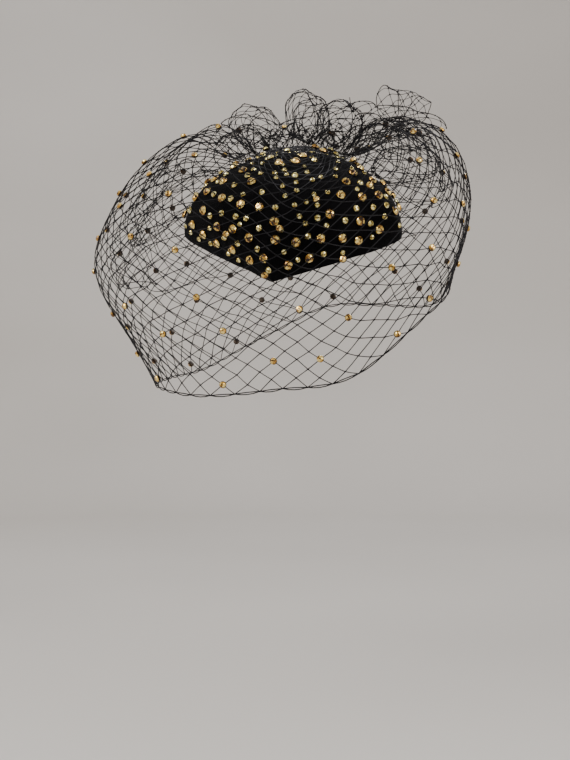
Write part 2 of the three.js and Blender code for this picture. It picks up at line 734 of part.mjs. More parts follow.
// ---------------------------------------------------------------- the hat
function buildHat() {
  const hat = new THREE.Group();
  const loops = asTable(LOOP_COLUMNS, LOOP_ROWS);
  const stones = scatterStones(loops);
  hat.add(named('cap', withStones(capShell(), stones.filter((stone) => stone.kind !== 'large')), velvet));
  const large = stones.filter((stone) => stone.kind === 'large');
  large.forEach((stone, k) => {
    const mesh = named(`stone_${String(k + 1).padStart(2, '0')}`, stoneGeometry(STONE.large, 0), topaz);
    hat.add(settle(mesh, stone, STONE.lift));
  });
  hat.add(named('net_gather', withStones(gatherMound(), scatterGatherStones(loops)), net));
  hat.add(named('veil', veilGeometry(), net));
  for (const row of loops) hat.add(named(row.name, loopGeometry(row), net));
  const inner = new THREE.Group();
  inner.applyMatrix4(capTurn);
  inner.add(combMesh());
  hat.add(inner);
  return hat;
}

export default buildHat();
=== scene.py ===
# %% [markdown]
# # A velvet cocktail hat with a birdcage veil
#
# The hat is a small teardrop cap of black velvet that perches on the front of the head. Amber and
# champagne glass stones are scattered over it. A strip of coarse diamond net is bunched on its top,
# falls over the face as a veil, balloons out at both sides and stands up behind in soft loops.
#
# The lesson starts from the finished construction model, the frame, which never changes. Every
# piece that we make here is fitted to it: same millimetres, same origin, at the centre of the cap's
# head opening. Blender counts in metres, so sizes are in metres where a table doesn't say millimetres.

# %% Load the frame
import math

import bpy
import numpy as np
from mathutils import Matrix, Vector


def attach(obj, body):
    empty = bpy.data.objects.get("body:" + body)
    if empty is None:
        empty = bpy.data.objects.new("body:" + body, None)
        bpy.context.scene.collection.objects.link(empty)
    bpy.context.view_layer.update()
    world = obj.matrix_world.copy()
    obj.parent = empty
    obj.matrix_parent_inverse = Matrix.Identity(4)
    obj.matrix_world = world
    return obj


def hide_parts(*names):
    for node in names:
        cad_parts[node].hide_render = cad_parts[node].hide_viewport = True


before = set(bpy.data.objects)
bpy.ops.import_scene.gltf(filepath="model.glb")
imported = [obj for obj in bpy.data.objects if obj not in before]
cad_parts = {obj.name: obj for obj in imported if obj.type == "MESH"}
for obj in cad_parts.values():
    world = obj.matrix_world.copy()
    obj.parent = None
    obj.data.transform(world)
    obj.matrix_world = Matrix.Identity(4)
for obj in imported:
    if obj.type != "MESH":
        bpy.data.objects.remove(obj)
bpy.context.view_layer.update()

MM = 0.001

# %% [markdown]
# ## Where we look from
#
# The camera stands level with the lower edge of the veil, a little to the right of the hat's middle,
# and 80 cm away. A lens just longer than normal keeps the cap's front from bulging. We place it by
# what a photographer would write down: how far round, how far off, how far aside and how high.

# %% Camera
LOOK_ROUND = math.radians(12)
CAMERA_FAR = 0.800
CAMERA_ASIDE = -0.0045
CAMERA_HEIGHT = -0.103
LENS_MM, SENSOR_MM = 53, 36

right_hand = Vector((math.cos(LOOK_ROUND), math.sin(LOOK_ROUND), 0))
forward = Vector((-math.sin(LOOK_ROUND), math.cos(LOOK_ROUND), 0))
camera = bpy.data.objects.new("camera", bpy.data.cameras.new("camera"))
camera.data.lens = LENS_MM
camera.data.sensor_width = SENSOR_MM
camera.location = right_hand * CAMERA_ASIDE - forward * CAMERA_FAR + Vector((0, 0, CAMERA_HEIGHT))
camera.rotation_euler = forward.to_track_quat("-Z", "Y").to_euler()
bpy.context.scene.collection.objects.link(camera)
bpy.context.scene.camera = camera
print("camera at, mm:", [round(v / MM) for v in camera.location])

# %% [markdown]
# ## A studio to stand in
#
# Net is mostly air, so its background shows through every cell. A photographer hangs a roll of pale
# paper that curves from wall to floor, which leaves no edge behind the strands. We spin that curve
# all the way round, so that the hat has the same quiet ground from every side, and leave the top
# open for the light.

# %% Small helpers: meshes, pieces, materials and patterns
def rng(seed):
    """Random numbers that are the same on every run."""
    return np.random.default_rng(seed)


def mesh_object(name, points, faces, material, smooth=True):
    """A mesh object from an array of points and one or more arrays of faces."""
    points = np.asarray(points, dtype=np.float32).reshape(-1, 3)
    groups = [np.asarray(group, dtype=np.int32) for group in faces if len(group)]
    corners = np.concatenate([group.ravel() for group in groups])
    totals = np.concatenate([np.full(len(group), group.shape[1], dtype=np.int32) for group in groups])
    starts = np.concatenate([[0], np.cumsum(totals)[:-1]]).astype(np.int32)
    mesh = bpy.data.meshes.new(name)
    mesh.vertices.add(len(points))
    mesh.vertices.foreach_set("co", points.ravel())
    mesh.loops.add(len(corners))
    mesh.loops.foreach_set("vertex_index", corners)
    mesh.polygons.add(len(totals))
    mesh.polygons.foreach_set("loop_start", starts)
    mesh.polygons.foreach_set("loop_total", totals)
    mesh.polygons.foreach_set("use_smooth", np.full(len(totals), smooth))
    mesh.update(calc_edges=True)
    mesh.validate()
    mesh.materials.append(material)
    piece = bpy.data.objects.new(name, mesh)
    bpy.context.scene.collection.objects.link(piece)
    return piece


def triangles(piece):
    """How many triangles a mesh has once its faces are split."""
    return sum(len(face.vertices) - 2 for face in piece.data.polygons)


def cover(name, points, faces, material, replaced=(), smooth=True):
    """A finished piece of the hat and the construction model's nodes it stands for."""
    piece = mesh_object(name, points, faces, material, smooth)
    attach(piece, "root")
    if replaced:
        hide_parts(*replaced)
    print(f"{name}: {triangles(piece)} triangles")
    return piece


def new_material(name, color, roughness, **sockets):
    """A material whose plain numbers are set on the shader's own sockets."""
    material = bpy.data.materials.new(name)
    material.use_nodes = True
    shader = material.node_tree.nodes["Principled BSDF"]
    shader.inputs["Base Color"].default_value = (*color, 1)
    shader.inputs["Roughness"].default_value = roughness
    for socket, value in sockets.items():
        shader.inputs[socket.replace("_", " ")].default_value = value
    return material, material.node_tree, shader


def add_node(tree, kind, inputs=None, **settings):
    """A node with its settings, and its inputs set or linked."""
    node = tree.nodes.new(kind)
    for key, value in settings.items():
        setattr(node, key, value)
    for key, value in (inputs or {}).items():
        if isinstance(value, bpy.types.NodeSocket):
            tree.links.new(value, node.inputs[key])
        else:
            node.inputs[key].default_value = value
    return node


def ramp(tree, factor, stops):
    """A colour ramp: stops are pairs of a place and a colour."""
    node = add_node(tree, "ShaderNodeValToRGB", {"Fac": factor})
    elements = node.color_ramp.elements
    while len(elements) < len(stops):
        elements.new(0.5)
    for element, (place, color) in zip(elements, stops):
        element.position = place
        element.color = (*color, 1)
    return node.outputs["Color"]


def pattern(tree, kind, **inputs):
    """A noise or a wave that is fixed to the piece's own millimetres."""
    place = add_node(tree, "ShaderNodeTexCoord").outputs["Object"]
    return add_node(tree, "ShaderNodeTex" + kind, {"Vector": place, **inputs}).outputs["Fac"]


def color_by(tree, shader, factor, stops):
    """Colour a material by a pattern."""
    tree.links.new(ramp(tree, factor, stops), shader.inputs["Base Color"])


def add_bump(tree, shader, height, distance, strength):
    """Let a pattern's height tilt the surface a little, as if it were that deep."""
    node = add_node(tree, "ShaderNodeBump", {"Height": height, "Distance": distance, "Strength": strength})
    tree.links.new(node.outputs["Normal"], shader.inputs["Normal"])


# %% The paper sweep
FLOOR_Z = -0.350
SWEEP_FLAT = 1.25
SWEEP_BEND = 0.35
SWEEP_HIGH = 1.5
SWEEP_TURNS, BEND_STEPS = 96, 16

bend = np.linspace(0, math.pi / 2, BEND_STEPS)
sweep_r = np.concatenate([[0, 0.3, 0.8], SWEEP_FLAT + SWEEP_BEND * np.sin(bend), [SWEEP_FLAT + SWEEP_BEND]])
sweep_z = FLOOR_Z + np.concatenate([[0, 0, 0], SWEEP_BEND * (1 - np.cos(bend)), [SWEEP_HIGH]])
around = np.linspace(0, 2 * math.pi, SWEEP_TURNS + 1)[:-1]
sweep = np.stack([sweep_r[:, None] * np.cos(around), sweep_r[:, None] * np.sin(around),
                  np.repeat(sweep_z[:, None], len(around), 1)], -1)


def grid_faces(rows, columns, flip=False):
    """Four-cornered faces of a grid of points that closes round its columns."""
    r, c = np.meshgrid(np.arange(rows - 1), np.arange(columns), indexing="ij")
    n = (c + 1) % columns
    quads = np.stack([r * columns + c, r * columns + n, (r + 1) * columns + n, (r + 1) * columns + c], -1)
    quads = quads.reshape(-1, 4)
    return quads[:, ::-1] if flip else quads


paper, tree, shader = new_material("pale_paper", (0.62, 0.595, 0.57), 0.9)
speckle = add_node(tree, "ShaderNodeTexNoise", {"Scale": 2.2, "Detail": 3.0})
color_by(tree, shader, speckle.outputs["Fac"], [(0.3, (0.56, 0.535, 0.51)), (0.7, (0.68, 0.655, 0.63))])
floor = mesh_object("floor", sweep, [grid_faces(len(sweep_r), len(around))], paper)
print("paper sweep:", round(SWEEP_FLAT + SWEEP_BEND, 2), "m round, floor at", FLOOR_Z)

# %% [markdown]
# ## Light
#
# Stones need something bright and something dark to reflect, or they look like plastic. One big soft
# window high on the left gives them a bright side, a weaker one fills from the right, and a narrow
# strip behind the hat draws thin highlights along the strands. A pale room fills in evenly all round.

# %% Lamps
# place, width, height, watts and colour; all shine at the middle of the hat
WINDOWS = dict(window_left=((-0.75, -0.95, 0.85), 0.7, 0.9, 15, (1.0, 0.985, 0.96)),
               window_right=((1.05, -0.65, 0.45), 0.5, 0.8, 8, (1.0, 0.97, 0.93)),
               strip_behind=((0.35, 1.05, 0.9), 0.9, 0.25, 6, (0.97, 0.98, 1.0)))
ROOM_COLOR, ROOM_LIGHT = (1.0, 0.98, 0.955, 1), 0.75

for name, (place, width, high, watts, color) in WINDOWS.items():
    lamp = bpy.data.lights.new(name, "AREA")
    lamp.shape = "RECTANGLE"
    lamp.size, lamp.size_y = width, high
    lamp.energy = watts
    lamp.color = color
    holder = bpy.data.objects.new(name, lamp)
    holder.location = place
    holder.rotation_euler = (-Vector(place)).to_track_quat("-Z", "Y").to_euler()
    bpy.context.scene.collection.objects.link(holder)

world = bpy.data.worlds.new("studio")
bpy.context.scene.world = world
world.use_nodes = True
world.node_tree.nodes["Background"].inputs["Color"].default_value = ROOM_COLOR
world.node_tree.nodes["Background"].inputs["Strength"].default_value = ROOM_LIGHT
print("lamps:", len(WINDOWS))

# %% [markdown]
# ## The cap's form
#
# A milliner steams the base over a block. Ours is a formula: a dome that is round at its crown and
# takes on a teardrop outline towards the rim, with a point in front. The same few sizes describe the
# construction model, so the velvet that we make will sit exactly where that model says.

# %% The dome
CAP = dict(half_width=0.079, front=0.067, round_front=0.060, back=0.080, height=0.052, wall=0.003,
           tilt=math.radians(34), roll=math.radians(2.5), power=2.3,
           arm_width=0.42, arm_slope=0.7, side_lead=0.16, rim_steps=60)
SHORT_STEP = 0.004
ABOVE_ALL = 0.120  # higher than anything on the cap
FROM_UNDER_RIM = 0.004  # net is kept off the velvet from this far under the rim upwards

cap_turn = np.array(Matrix.Rotation(CAP["roll"], 3, "Y") @ Matrix.Rotation(CAP["tilt"], 3, "X"))


def unit(ways):
    """The same ways, each of length 1."""
    return ways / np.maximum(np.linalg.norm(ways, axis=-1, keepdims=True), 1e-12)


def rim_table():
    """Angles and radii of the front arm, a Bezier curve from the point to the widest place."""
    w, f = CAP["half_width"], CAP["front"]
    a, b = CAP["arm_width"], CAP["arm_slope"]
    handles = np.array([[0, -f], [a * w, -f + a * w * b], [w, -CAP["side_lead"] * f], [w, 0]])
    t = np.linspace(0, 1, CAP["rim_steps"] + 1)[:, None]
    p = ((1 - t) ** 3 * handles[0] + 3 * (1 - t) ** 2 * t * handles[1]
         + 3 * (1 - t) * t ** 2 * handles[2] + t ** 3 * handles[3])
    return np.arctan2(p[:, 0], -p[:, 1]), np.hypot(p[:, 0], p[:, 1])


RIM_ANGLES, RIM_RADII = rim_table()


def rim_radius(angle):
    """How far the rim is from the middle, at an angle from the front."""
    a = np.abs(np.arctan2(np.sin(angle), np.cos(angle)))
    behind = 1 / np.hypot(np.sin(a) / CAP["half_width"], np.cos(a) / CAP["back"])
    return np.where(a >= math.pi / 2, behind, np.interp(a, RIM_ANGLES, RIM_RADII))


def outline_radius(angle, share):
    """The same for a ring of the dome: round at the crown, and the rim's teardrop at share 1."""
    depth = np.where(np.cos(angle) > 0, CAP["round_front"], CAP["back"])
    round_one = 1 / np.hypot(np.sin(angle) / CAP["half_width"], np.cos(angle) / depth)
    return round_one + (rim_radius(angle) - round_one) * np.minimum(1, share) ** 4


def dome_point(angle, share, offset=0.0):
    """A point of the dome grown by offset: share 0 is the crown and 1 the rim."""
    angle, share = np.broadcast_arrays(np.asarray(angle, float), np.asarray(share, float))
    r = (outline_radius(angle, share) + offset) * share
    h = (CAP["height"] + offset) * np.sqrt(np.maximum(0, 1 - share ** CAP["power"]))
    return np.stack([r * np.sin(angle), -r * np.cos(angle), h], -1) @ cap_turn.T


def dome_normal(angle, share):
    """The way that the dome faces, from two short steps over it."""
    round_way = dome_point(angle + SHORT_STEP, share) - dome_point(angle - SHORT_STEP, share)
    down_way = dome_point(angle, share + SHORT_STEP) - dome_point(angle, share - SHORT_STEP)
    return unit(np.cross(down_way, round_way))


def dome_level(points, offset):
    """1 on the dome grown by offset and less inside it, and the height over the rim's plane."""
    q = np.asarray(points) @ cap_turn
    angle = np.arctan2(q[..., 0], -q[..., 1])
    far = np.hypot(q[..., 0], q[..., 1])
    share = np.full(far.shape, 0.5)
    for _ in range(8):
        share = far / (outline_radius(angle, share) + offset)
    rise = np.maximum(0, q[..., 2]) / (CAP["height"] + offset)
    return np.sqrt(share ** CAP["power"] + rise ** 2), q[..., 2]


def onto_dome(points, offset):
    """Points slid out or in, along the line from the origin, onto the dome grown by offset."""
    p = np.array(points, float)
    for _ in range(12):
        p = p / (dome_level(p, offset)[0] ** 0.9)[..., None]
    return p


def clear_of_dome(points, offset):
    """Points inside the grown dome slid out onto it, from a little below the rim upwards."""
    level, above = dome_level(points, offset)
    moved = ((level < 1) & (above > -FROM_UNDER_RIM))[..., None]
    return np.where(moved, onto_dome(np.where(moved, points, 1.0), offset), points)


def dome_top(x, y, offset):
    """The point of the grown dome straight above a place in plan."""
    low, high = 0.0, ABOVE_ALL
    for _ in range(30):
        z = (low + high) / 2
        inside = dome_level(np.array([x, y, z]), offset)[0] < 1
        low, high = (z, high) if inside else (low, z)
    return np.array([x, y, high])


print("point of the cap at, mm:", np.round(dome_point(0.0, 1.0) / MM, 1))

# %% [markdown]
# ## Velvet over the dome
#
# Velvet is a woven ground with a dense upright pile. Light that meets the pile head on is swallowed,
# and light that grazes its tips comes back, so the cap is almost black with a faint soft edge. We
# model the cloth as one closed wall: the outside a little uneven, as hand-stretched velvet is, the
# rim rolled under, and a smooth inside. The pile itself is a sheen layer and a fine bump.

# %% The cap in velvet
CAP_TURNS, CAP_RINGS, RIM_ROLL_STEPS = 320, 96, 7
HAND_WAVE = 0.00022
HAND_WAVES = [(3, 2.1, 0.4), (5, 3.7, 1.9), (9, 5.3, 4.1), (14, 8.2, 2.7)]  # waves round, down, start
RIM_BULGE = 0.35  # how far the rolled rim hangs below the wall, against half its thickness
NORMAL_UP_TO = 0.995
PILE_DEEP = 0.0006

turn_angles = np.linspace(0, 2 * math.pi, CAP_TURNS + 1)[:-1]
ring_shares = np.sin(np.linspace(0.012, 1, CAP_RINGS) * math.pi / 2)


def velvet_wave(angle, share):
    """How far the stretched velvet stands off the block, in soft shallow waves."""
    return HAND_WAVE * sum(np.sin(n * angle + m * share * math.pi + p) for n, m, p in HAND_WAVES) * share


def velvet_cap():
    """Rings of points from the crown to the rim, round its rolled edge, and back inside."""
    outer = dome_point(turn_angles[None], ring_shares[:, None])
    normal = dome_normal(turn_angles[None], np.minimum(ring_shares[:, None], NORMAL_UP_TO))
    outer = outer + normal * velvet_wave(turn_angles[None], ring_shares[:, None])[..., None]
    inner = dome_point(turn_angles[None], ring_shares[::-1, None], -CAP["wall"])
    rim_out, rim_in = outer[-1], inner[0]
    middle, half = (rim_out + rim_in) / 2, (rim_out - rim_in) / 2
    down = -cap_turn[:, 2] * np.linalg.norm(half, axis=-1, keepdims=True)
    turns = np.linspace(0, math.pi, RIM_ROLL_STEPS + 2)[1:-1, None, None]
    roll = middle + half * np.cos(turns) + down * np.sin(turns) * RIM_BULGE
    rings = np.concatenate([outer, roll, inner])
    crown = dome_point(0.0, 0.0)
    under = dome_point(0.0, 0.0, -CAP["wall"])
    points = np.concatenate([rings.reshape(-1, 3), [crown, under]])
    count = len(rings) * CAP_TURNS
    k = np.arange(CAP_TURNS)
    n = (k + 1) % CAP_TURNS
    end = (len(rings) - 1) * CAP_TURNS
    caps = np.concatenate([np.stack([np.full_like(k, count), k, n], -1),
                           np.stack([np.full_like(k, count + 1), end + n, end + k], -1)])
    return points, grid_faces(len(rings), CAP_TURNS, flip=True), caps


velvet, tree, shader = new_material(
    "black_velvet", (0.0016, 0.0015, 0.0019), 0.95, Specular_IOR_Level=0.05,
    Sheen_Weight=0.07, Sheen_Roughness=0.36, Sheen_Tint=(0.62, 0.63, 0.70, 1))
brushed = pattern(tree, "Noise", Scale=28.0, Detail=4.0)
pile = pattern(tree, "Noise", Scale=2600.0, Detail=2.0)
color_by(tree, shader, brushed, [(0.35, (0.0010, 0.0009, 0.0012)), (0.7, (0.0030, 0.0028, 0.0034))])
height = add_node(tree, "ShaderNodeMath", {0: brushed, 1: pile}, operation="ADD")
add_bump(tree, shader, height.outputs[0], PILE_DEEP, 0.8)

points, quads, crowns = velvet_cap()
cover("cap_velvet", points, [quads, crowns], velvet, ["cap"])

# %% [markdown]
# ## The veil's form
#
# The veil hangs from a bunched gather on the cap's top. We describe it as a milliner would look at
# it, fold by fold round the head: for each way that one faces, where the net leaves the gather, its
# shoulder, its widest reach, its belly and its hem. A smooth curve runs down through the five places
# of each fold, and a smooth curve runs round from fold to fold.

# %% The table of folds, in millimetres
GATHER_AXIS = np.array([0.008, -0.004])
OVER_VELVET = 0.005
STATIONS = ["edge", "shoulder", "reach", "belly", "hem"]
# azimuth; then a distance from the gather's axis and a height for each station
FOLDS = np.array([
    [-180, 42, 60, 58, 89, 94, 44, 104, 0, 92, -45],
    [-150, 42, 60, 68, 90, 116, 44, 126, -10, 100, -70],
    [-120, 40, 57, 79, 86, 134, 34, 142, -30, 98, -94],
    [-90, 38, 54, 87, 72, 142, 12, 146, -32, 97, -101],
    [-60, 38, 48, 78, 50, 124, 14, 131, -42, 104, -107],
    [-30, 42, 38, 60, 24, 84, -16, 94, -60, 99, -113],
    [0, 49, 22, 57, 10, 70, -28, 82, -66, 87, -109],
    [30, 46, 32, 62, 22, 84, -12, 93, -54, 100, -101],
    [60, 36, 50, 76, 48, 106, 12, 116, -24, 113, -57],
    [90, 36, 56, 81, 74, 113, 46, 116, 2, 104, -38],
    [120, 38, 58, 79, 85, 115, 54, 119, 8, 100, -48],
    [150, 40, 60, 66, 90, 100, 50, 108, 5, 92, -45],
], float)
FOLDS[:, 1:] *= MM


def bend_between(start, start_slope, end, end_slope, t, span=1.0):
    """The smooth curve from start to end that has the slopes it is given at both."""
    return ((2 * t ** 3 - 3 * t ** 2 + 1) * start + (t ** 3 - 2 * t ** 2 + t) * span * start_slope
            + (3 * t ** 2 - 2 * t ** 3) * end + (t ** 3 - t ** 2) * span * end_slope)


def fold_at(azimuth):
    """The row of the table at any azimuth in degrees, by a smooth curve through the rows."""
    azimuth = np.atleast_1d(np.asarray(azimuth, float))
    count = len(FOLDS)
    turned = azimuth - 360 * np.floor((azimuth - FOLDS[0, 0]) / 360)
    k = np.clip(np.searchsorted(FOLDS[:, 0], turned, side="right") - 1, 0, count - 1)

    def row(index):
        lap = np.floor_divide(index, count)
        found = FOLDS[index - lap * count].copy()
        found[:, 0] += lap * 360
        return found

    before, here, after, last = row(k - 1), row(k), row(k + 1), row(k + 2)
    span = after[:, :1] - here[:, :1]
    t = (turned[:, None] - here[:, :1]) / span
    slope_here = (after - before) / (after[:, :1] - before[:, :1])
    slope_after = (last - here) / (last[:, :1] - here[:, :1])
    return bend_between(here, slope_here, after, slope_after, t, span)[:, 1:]


def smooth_run(knots, t):
    """A centripetal curve through knots (..., n, d), read at places t from 0 to 1."""
    first = 2 * knots[..., :1, :] - knots[..., 1:2, :]
    last = 2 * knots[..., -1:, :] - knots[..., -2:-1, :]
    run = np.concatenate([first, knots, last], -2)
    place = np.asarray(t, float) * (knots.shape[-2] - 1)
    k = np.minimum(place.astype(int), knots.shape[-2] - 2)
    w = (place - k)[:, None]
    p0, p1, p2, p3 = (run[..., k + j, :] for j in range(4))
    d0, d1, d2 = (np.sum((b - a) ** 2, -1, keepdims=True) ** 0.25 for a, b in ((p0, p1), (p1, p2), (p2, p3)))
    m1 = ((p1 - p0) / d0 - (p2 - p0) / (d0 + d1) + (p2 - p1) / d1) * d1
    m2 = ((p2 - p1) / d1 - (p3 - p1) / (d1 + d2) + (p3 - p2) / d2) * d1
    return bend_between(p1, m1, p2, m2, w)


def around_gather(a, r, z):
    """Places at an angle a from the front, r from the gather's axis and z high."""
    return np.stack([GATHER_AXIS[0] + r * np.sin(a), GATHER_AXIS[1] - r * np.cos(a), z], -1)


def seen_from_gather(x, y):
    """The azimuth in degrees of a place in plan, and how far it is from the gather's axis."""
    right, back = np.array([x, y]) - GATHER_AXIS
    return math.degrees(math.atan2(right, -back)), np.hypot(right, back)


print("the veil leaves the gather in front at, mm:", np.round(fold_at(0)[0, :2] / MM, 1))

# %% The veil as a fine table of places
VEIL_TURNS, VEIL_DOWNS = 720, 361
SOFT_WAVES = [(7, 2.3, 0.0011), (11, 4.1, 0.0008), (4, 6.2, 0.0012)]
HANGS_STRAIGHT = 0.85  # how far the front's strands hang side by side, not fanned from the gather
PLEATS = dict(from_azimuth=40, fade=40, rise=0.08, reach=0.34,
              waves=[(11, 2.0, 1.0, 0.0052), (17, -4.0, 2.2, 0.0034), (7, 6.0, 0.4, 0.0024)])


def evenly_down(places):
    """The same folds with their points evenly spaced from the gather to the hem."""
    gone = np.cumsum(np.linalg.norm(np.diff(places, axis=1), axis=-1), 1)
    gone = np.concatenate([np.zeros((len(places), 1)), gone], 1)
    gone /= gone[:, -1:]
    even = np.linspace(0, 1, places.shape[1])
    folds = [[np.interp(even, g, p[:, k]) for k in range(3)] for g, p in zip(gone, places)]
    return np.moveaxis(np.array(folds), 1, 2)


def read_surface(table, u, v, wraps=True):
    """Places on a table of places at (u, v), straight between its points, and past its ends."""
    rows, columns = table.shape[:2]
    x = np.asarray(u) * (rows if wraps else rows - 1)
    y = np.asarray(v) * (columns - 1)
    i = np.floor(x).astype(int)
    i = i if wraps else np.clip(i, 0, rows - 2)
    j = np.clip(np.floor(y).astype(int), 0, columns - 2)
    s, t = (x - i)[..., None], (y - j)[..., None]
    a, b = i % rows, (i + 1) % rows
    return ((table[a, j] * (1 - s) + table[b, j] * s) * (1 - t)
            + (table[a, j + 1] * (1 - s) + table[b, j + 1] * s) * t)


def outward_ways(places):
    """The way that a table of places round the hat faces outwards."""
    along = np.roll(places, -1, 0) - np.roll(places, 1, 0)
    normal = unit(np.cross(along, np.gradient(places, axis=1)))
    away = places - np.array([*GATHER_AXIS, 0])
    return normal * np.sign(np.sum(normal * away, -1, keepdims=True).mean())


def veil_surface():
    """Places of the veil on a grid: turn runs round from the back by the left, down to the hem."""
    turn = np.arange(VEIL_TURNS) / VEIL_TURNS
    down = np.linspace(0, 1, VEIL_DOWNS)
    azimuth = -180 + 360 * turn
    profile = smooth_run(fold_at(azimuth).reshape(VEIL_TURNS, len(STATIONS), 2), down)
    a = np.radians(azimuth)[:, None]
    swell = sum(depth * np.sin(n * a + m * down * math.pi) for n, m, depth in SOFT_WAVES)
    r = profile[..., 0] + swell * np.sin(math.pi * np.minimum(1, down * 1.05)) ** 0.5
    places = around_gather(a, r, profile[..., 1])
    spread = HANGS_STRAIGHT * (1 - down) ** 1.5 * np.sin(a) * (1 + np.cos(a)) / 2
    places = read_surface(places, (a + spread + math.pi) / (2 * math.pi), np.broadcast_to(down, spread.shape))
    beside = np.clip((np.abs(azimuth)[:, None] - PLEATS["from_azimuth"]) / PLEATS["fade"], 0, 1)
    high = np.minimum(1, down / PLEATS["rise"]) * np.exp(-(down / PLEATS["reach"]) ** 2)
    pleat = sum(depth * np.sin(n * a + m * down + p) for n, m, p, depth in PLEATS["waves"])
    places = places + outward_ways(places) * (beside * high * pleat)[..., None]
    return evenly_down(clear_of_dome(places, OVER_VELVET))


def fold_lengths(table):
    """How long each fold of a table of places is, from the gather to the hem."""
    return np.linalg.norm(np.diff(table, axis=1), axis=-1).sum(1)


veil_places = veil_surface()
lengths = fold_lengths(veil_places) / MM
print("veil, gather to hem, mm: shortest", round(lengths.min()), "longest", round(lengths.max()))
hem_round = np.linalg.norm(np.roll(veil_places[:, -1], -1, 0) - veil_places[:, -1], axis=-1).sum()
print("round the hem, mm:", round(hem_round / MM))

# %% [markdown]
# ## Knotted net
#
# Millinery net is knotted from one thickness of nylon into diamonds. A side of a diamond can't
# stretch, but its corners turn freely, so the net drapes over a round form by squashing some
# diamonds and drawing others out long. We lay it knot by knot, as it would fall: the first row
# along the hem, and then each knot as far above the two below it as their sides allow. Where the
# veil is wide the diamonds open, where it is gathered they close, and the rows that come in under
# the gather are cut.

# %% Lay the net row by row, upwards from the hem
SIDE = 0.0100  # from knot to knot
OPEN_WIDTH = 0.0154  # width of a diamond where its fold reaches furthest out
PAST_GATHER = -0.2  # rows are followed this far in under the gather, as a share of the veil
MOST_ROWS = 60
LEAST_TALL = 0.55  # the flattest diamond, as a share of its side
DRIFT = 0.00045  # how far a knot has slipped from its even place


def spread_columns(table):
    """Turns of the hem's knots, closer together where the veil balloons further out."""
    reach = np.hypot(table[..., 0] - GATHER_AXIS[0], table[..., 1] - GATHER_AXIS[1]).max(1)
    turn = np.arange(len(table) + 1) / len(table)
    per_turn = 2 * math.pi * np.append(reach, reach[0]) / OPEN_WIDTH
    count = np.concatenate([[0], np.cumsum((per_turn[1:] + per_turn[:-1]) / 2 * np.diff(turn))])
    cells = int(round(count[-1]))
    places = np.interp(np.arange(2 * cells) * count[-1] / (2 * cells), count, turn)
    return places.reshape(cells, 2)


def lay_net(table, columns):
    """Turns and downs of all the knots, row by row: the odd rows stand half a diamond along."""
    long = np.append(fold_lengths(table), fold_lengths(table)[0])
    turn = np.arange(len(long)) / (len(long) - 1)
    us, vs = [columns[:, 0]], [np.ones(len(columns))]
    for row in range(1, MOST_ROWS):
        shift = -1 if row % 2 else 1
        u = columns[:, row % 2]
        middle = (vs[-1] + np.roll(vs[-1], shift)) / 2
        left, right = (read_surface(table, below, middle) for below in (us[-1], np.roll(us[-1], shift)))
        half_width = np.linalg.norm(right - left, axis=-1) / 2
        tall = np.sqrt(np.maximum(SIDE ** 2 - half_width ** 2, (LEAST_TALL * SIDE) ** 2))
        us.append(u)
        vs.append(np.maximum(middle - tall / np.interp(u, turn, long), PAST_GATHER))
        if vs[-1].max() < 0:
            break
    return np.array(us), np.array(vs)


def let_slip(table, u, v, seed):
    """The knots moved a little from their even places, all but those of the hem."""
    random = rng(seed)
    size = fold_lengths(table).mean()
    around = np.linalg.norm(np.diff(table[:, ::40], axis=0), axis=-1).sum(0).mean()
    slip_u, slip_v = random.normal(0, DRIFT, (2, *u.shape))
    slip_v[0] = 0
    return u + slip_u / around, np.minimum(v + slip_v / size, 1)


columns = spread_columns(veil_places)
u, v = lay_net(veil_places, columns)
u, v = let_slip(veil_places, u, v, 5)
print("veil net:", u.shape[1], "diamonds round,", len(u), "rows of knots")

# %% [markdown]
# ## From lines to strands
#
# A strand is a thin round tube. We give each side of a diamond three short lengths of tube that
# follow the veil's curve, and put a small lump where four strands are knotted. Thousands of them
# are one mesh, made from whole arrays of points at once, which is far quicker than one by one.

# %% Tubes and knots from arrays
STRAND = 0.00060
STRAND_SIDES = 5
KNOT = 0.00125


def tubes(runs, radius, sides=STRAND_SIDES):
    """Closed tubes along runs of points (tubes, points, 3); radius is one number or one a point."""
    runs = np.asarray(runs, float)
    count, length = runs.shape[:2]
    radius = np.broadcast_to(np.asarray(radius, float), (count, length))
    tangent = unit(np.gradient(runs, axis=1))
    guide = np.where(np.abs(tangent[:, :1, 2:]) > 0.9, [[[1.0, 0, 0]]], [[[0, 0, 1.0]]])
    side = unit(np.cross(tangent, np.broadcast_to(guide, tangent.shape)))
    other = np.cross(tangent, side)
    turn = np.arange(sides) * 2 * math.pi / sides
    ring = (side[:, :, None] * np.cos(turn)[:, None] + other[:, :, None] * np.sin(turn)[:, None])
    points = runs[:, :, None] + ring * radius[:, :, None, None]
    base = (np.arange(count) * length * sides)[:, None]
    walls = (base[:, :, None] + grid_faces(length, sides, flip=True)).reshape(-1, 4)
    near = base + np.arange(sides)[None]
    far = base + (length - 1) * sides + np.arange(sides)[None, ::-1]
    return points.reshape(-1, 3), walls, np.concatenate([near, far])


